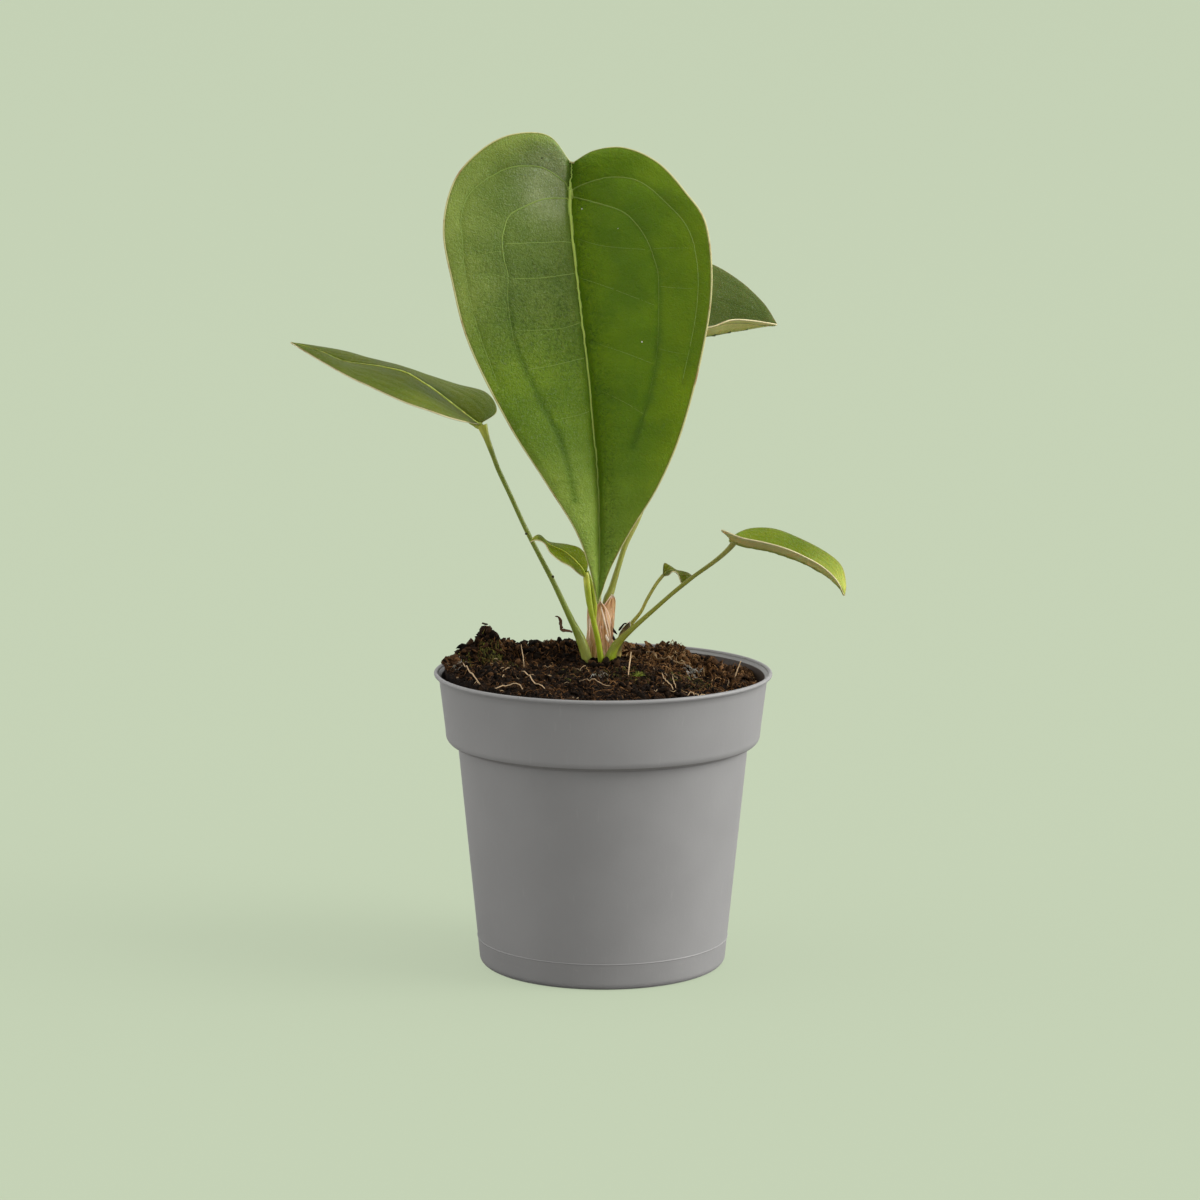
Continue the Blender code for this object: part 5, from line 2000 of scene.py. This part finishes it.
def finish_blade(name, slot, skins, grid, veins, midrib, relief, pebble, wall, trim):
    """Give a blade its relief, thickness, raised veins above and below, and a thin edge."""
    columns, rows = grid
    leaf = BLADES[name + "_blade"]
    sheet, edges, halves = blade_sheet(name, leaf, columns, rows)
    painted_shades, nears = press_relief(sheet, leaf, veins, relief, pebble, edges)
    mark_blade(sheet, rows, edges, halves, painted_shades, nears)
    merge_doubles(sheet, 0.02)
    tree = BVHTree.FromObject(sheet, bpy.context.evaluated_depsgraph_get())
    raise_veins(tree, leaf, veins, midrib, wall).make(name + "_veins", [skins["vein"]], slot)
    round_margins(tree, leaf, wall, trim).make(name + "_edge", [skins["edge"]], slot)

    solid = sheet.modifiers.new("thickness", "SOLIDIFY")
    solid.thickness = wall * MM
    solid.offset = -1
    solid.material_offset = 1
    solid.material_offset_rim = 2
    dress(sheet, [skins["upper"], skins["under"], skins["edge"]], slot, name + "_blade")
    apply_all(sheet)
    smooth(sheet)
    return sheet


def edge_skin(name, pale, brown):
    """The thin dry edge of a blade: pale with brown stretches."""
    skin, tree, shader = new_skin(name)
    patches = noise_at(tree, object_place(tree), 130.0, 4.0, 0.6)
    colour = mix_colours(tree, spread(tree, patches, 0.52, 0.72), pale, brown)
    set_inputs(tree, shader, {"Base Color": colour, "Roughness": 0.6})
    return skin


class PLANT_OT_big_leaf(bpy.types.Operator):
    """Build the big heart-shaped leaf with its veins, edge and a few specks"""

    bl_idname = "plant.big_leaf"
    bl_label = "Big leaf"

    def execute(self, context):
        tone = looks("leaf_looks")
        brown = srgb(104, 78, 40)
        # Colours of the big leaf with painted sheen and painted light shining through
        painted_tints = {name: srgb(*colour) for name, colour in BIG_LEAF_PAINTED_TINTS.items()}
        skins = {
            "upper": leaf_skin(
                "big_leaf_upper", None, brown, None, painted_tints, tip=(srgb(158, 182, 84), 0.36, 0.08, 0.95),
            ),
            "under": leaf_skin("big_leaf_under", srgb(122, 144, 62), brown, 0.15),
            "vein": vein_skin("big_leaf_vein", srgb(108, 132, 56), opaque(tone.vein)),
            "edge": edge_skin("big_leaf_edge", opaque(tone.margin), srgb(150, 120, 66)),
        }
        veins = list(BIG_LEAF_VEINS.values())
        blade = finish_blade(
            "leaf_1", "big_leaf_green", skins, (150, 236), veins, BIG_LEAF_MIDRIB,
            0.65, 0.09, tone.thickness / MM, 0.3,
        )
        tree = BVHTree.FromObject(blade, bpy.context.evaluated_depsgraph_get())
        specks = Bundle()
        for place, size, shade in LEAF_SPECKS:
            spot, up = settle(tree, Vector(place))
            side = up.orthogonal().normalized() * size
            route = [spot + side * (step / 2 - 1) + up * 0.04 for step in range(5)]
            specks.add_tube(route, [0.1, size * 0.8, size, size * 0.7, 0.1], 6, shade, [up] * 5, 0.5)
        stops = ((0.0, (0.02, 0.02, 0.01, 1)), (1.0, (0.75, 0.76, 0.66, 1)))
        specks.make("leaf_1_specks", [loose_skin("leaf_specks", stops, 0.6)], "big_leaf_green")
        return {"FINISHED"}


class PLANT_OT_leaves(bpy.types.Operator):
    """Build the five smaller leaves"""

    bl_idname = "plant.leaves"
    bl_label = "Smaller leaves"

    def execute(self, context):
        wall = looks("leaf_looks").thickness / MM
        edge = edge_skin("pale_edge", srgb(206, 196, 150), srgb(160, 138, 92))
        brown = srgb(126, 112, 84)
        for name, leaf in SMALL_LEAVES.items():
            upper, under, rib = [srgb(*leaf[part]) for part in ("upper", "under", "rib")]
            tip = (srgb(*leaf["tip"][0]), *leaf["tip"][1:]) if "tip" in leaf else None
            skins = {
                "upper": leaf_skin(name + "_upper", upper, brown, 0.3, gloss=0.04, tip=tip),
                "under": leaf_skin(name + "_under", under, brown, 0.2, gloss=0.04, through=leaf["through"]),
                "vein": vein_skin(name + "_vein", upper, rib),
                "edge": edge,
            }
            at_tip, at_notch = leaf["midrib"]
            midrib = ((0, at_tip * 0.5), (0.2, at_tip), (0.95, at_notch), (1, at_notch * 0.8))
            veins = ruled_veins(BLADES[name + "_blade"], leaf["vein_size"])
            finish_blade(
                name, leaf["slot"], skins, leaf["grid"], veins, midrib,
                leaf["relief"], 0.02, wall * leaf["wall"], leaf["trim"],
            )
        return {"FINISHED"}


# Stage

def backdrop_skin():
    """A seamless pale sheet. Its own glow keeps it even, and its bounce light is neutral."""
    skin, tree, shader = new_skin("backdrop")
    place = object_place(tree)
    tone = looks("stage_looks").backdrop
    seen = tree.nodes.new("ShaderNodeLightPath").outputs["Is Camera Ray"]
    paper = mix_colours(tree, noise_at(tree, place, 3.0, 2.0), scaled(tone, 0.185), scaled(tone, 0.187))
    raised = spread(tree, axes(tree, place)["Z"], 0.3, 2.0, 0, 0.9)
    bounce = mix_colours(tree, raised, (0.0, 0.0, 0.0, 1), (1.0, 1.0, 1.0, 1))
    set_inputs(tree, shader, {
        "Base Color": mix_colours(tree, seen, (0.34, 0.34, 0.33, 1), paper),
        "Emission Color": mix_colours(tree, seen, bounce, opaque(tone)),
        "Emission Strength": 0.74, "Roughness": 1.0, "Specular IOR Level": 0.0,
    })
    return skin


def studio_world(strength):
    """Light from all round: strongest from the right, weak from the front."""
    world = bpy.data.worlds.new("studio")
    world.use_nodes = True
    tree = world.node_tree
    x, y, z = axes(tree, tree.nodes.new("ShaderNodeTexCoord").outputs["Generated"])
    right = spread(tree, x, 0.35, 1.0, 0, 2.5)
    left = spread(tree, x, -0.55, -1.0, 0, 1.8)
    above = spread(tree, z, 0.2, 1.0, 0, 0.5)
    light = total(tree, total(tree, right, left), total(tree, above, 0.34))
    sky = tree.nodes["Background"]
    set_inputs(tree, sky, {"Strength": product(tree, light, strength), "Color": (1.0, 0.995, 0.985, 1)})
    return world


class PLANT_OT_stage(bpy.types.Operator):
    """Set the seamless backdrop, the soft light and the camera"""

    bl_idname = "plant.stage"
    bl_label = "Stage"

    def execute(self, context):
        deselect_all()
        bpy.ops.mesh.primitive_plane_add(size=FLOOR_SIZE, location=(0, 0, 0))
        sheet = name_new_piece("backdrop")
        edit_all(sheet)
        bpy.ops.mesh.select_all(action="DESELECT")
        close_edit()
        for edge in sheet.data.edges:
            ends = [sheet.data.vertices[index].co.y for index in edge.vertices]
            edge.select = min(ends) > FLOOR_SIZE / 2 - 1
        pick_only(sheet)
        bpy.ops.object.mode_set(mode="EDIT")
        bpy.ops.mesh.select_mode(type="EDGE")
        bpy.ops.mesh.extrude_region_move(TRANSFORM_OT_translate={"value": (0, 0, BACKDROP_HEIGHT)})
        close_edit()
        fold = sheet.modifiers.new("fold", "BEVEL")
        fold.width = 4
        fold.segments = 24
        apply_all(sheet)
        smooth(sheet)
        sheet.data.materials.append(backdrop_skin())

        stage = looks("stage_looks")
        context.scene.world = studio_world(stage.fill)
        key = bpy.data.lights.new("key", "SUN")
        key.energy = stage.key
        key.angle = KEY_SPREAD
        key.color = (1.0, 0.99, 0.97)
        lamp = bpy.data.objects.new("key", key)
        lamp.rotation_euler = Vector(KEY_SIDE).to_track_quat("Z", "Y").to_euler()
        context.scene.collection.objects.link(lamp)

        view = bpy.data.cameras.new("camera")
        view.sensor_width = SENSOR_WIDTH
        view.lens = LENS
        camera = bpy.data.objects.new("camera", view)
        turn = Matrix.Rotation(CAMERA_TILT, 4, "X") @ Matrix.Rotation(CAMERA_ROLL, 4, "Z")
        camera.matrix_world = Matrix.Translation(Vector(CAMERA_PLACE) * MM) @ turn
        context.scene.collection.objects.link(camera)
        context.scene.camera = camera
        context.scene.view_settings.view_transform = "Standard"
        return {"FINISHED"}


class PLANT_PT_panel(bpy.types.Panel):
    """The plant's building steps"""

    bl_idname = "PLANT_PT_panel"
    bl_label = "Potted anthurium"
    bl_space_type = "VIEW_3D"
    bl_region_type = "UI"
    bl_category = "Plant"

    def draw(self, context):
        for operator in OPERATORS:
            self.layout.operator(operator.bl_idname)


SETTINGS = {
    "pot_looks": PotLooks,
    "soil_looks": SoilLooks,
    "leaf_looks": LeafLooks,
    "stage_looks": StageLooks,
}
OPERATORS = (
    PLANT_OT_pot,
    PLANT_OT_soil,
    PLANT_OT_crumbs,
    PLANT_OT_fibres,
    PLANT_OT_moss,
    PLANT_OT_stock,
    PLANT_OT_sheaths,
    PLANT_OT_dry_bits,
    PLANT_OT_stalks,
    PLANT_OT_big_leaf,
    PLANT_OT_leaves,
    PLANT_OT_stage,
)


def register():
    for kind in (*SETTINGS.values(), *OPERATORS, PLANT_PT_panel):
        bpy.utils.register_class(kind)
    for name, kind in SETTINGS.items():
        setattr(bpy.types.Scene, name, PointerProperty(type=kind))


def unregister():
    for name in SETTINGS:
        delattr(bpy.types.Scene, name)
    for kind in reversed((*SETTINGS.values(), *OPERATORS, PLANT_PT_panel)):
        bpy.utils.unregister_class(kind)


def main():
    register()
    bpy.ops.plant.pot()
    bpy.ops.plant.soil()
    bpy.ops.plant.crumbs()
    bpy.ops.plant.fibres()
    bpy.ops.plant.moss()
    bpy.ops.plant.stock()
    bpy.ops.plant.sheaths()
    bpy.ops.plant.dry_bits()
    bpy.ops.plant.stalks()
    bpy.ops.plant.big_leaf()
    bpy.ops.plant.leaves()
    bpy.ops.plant.stage()


if __name__ == "__main__":
    main()
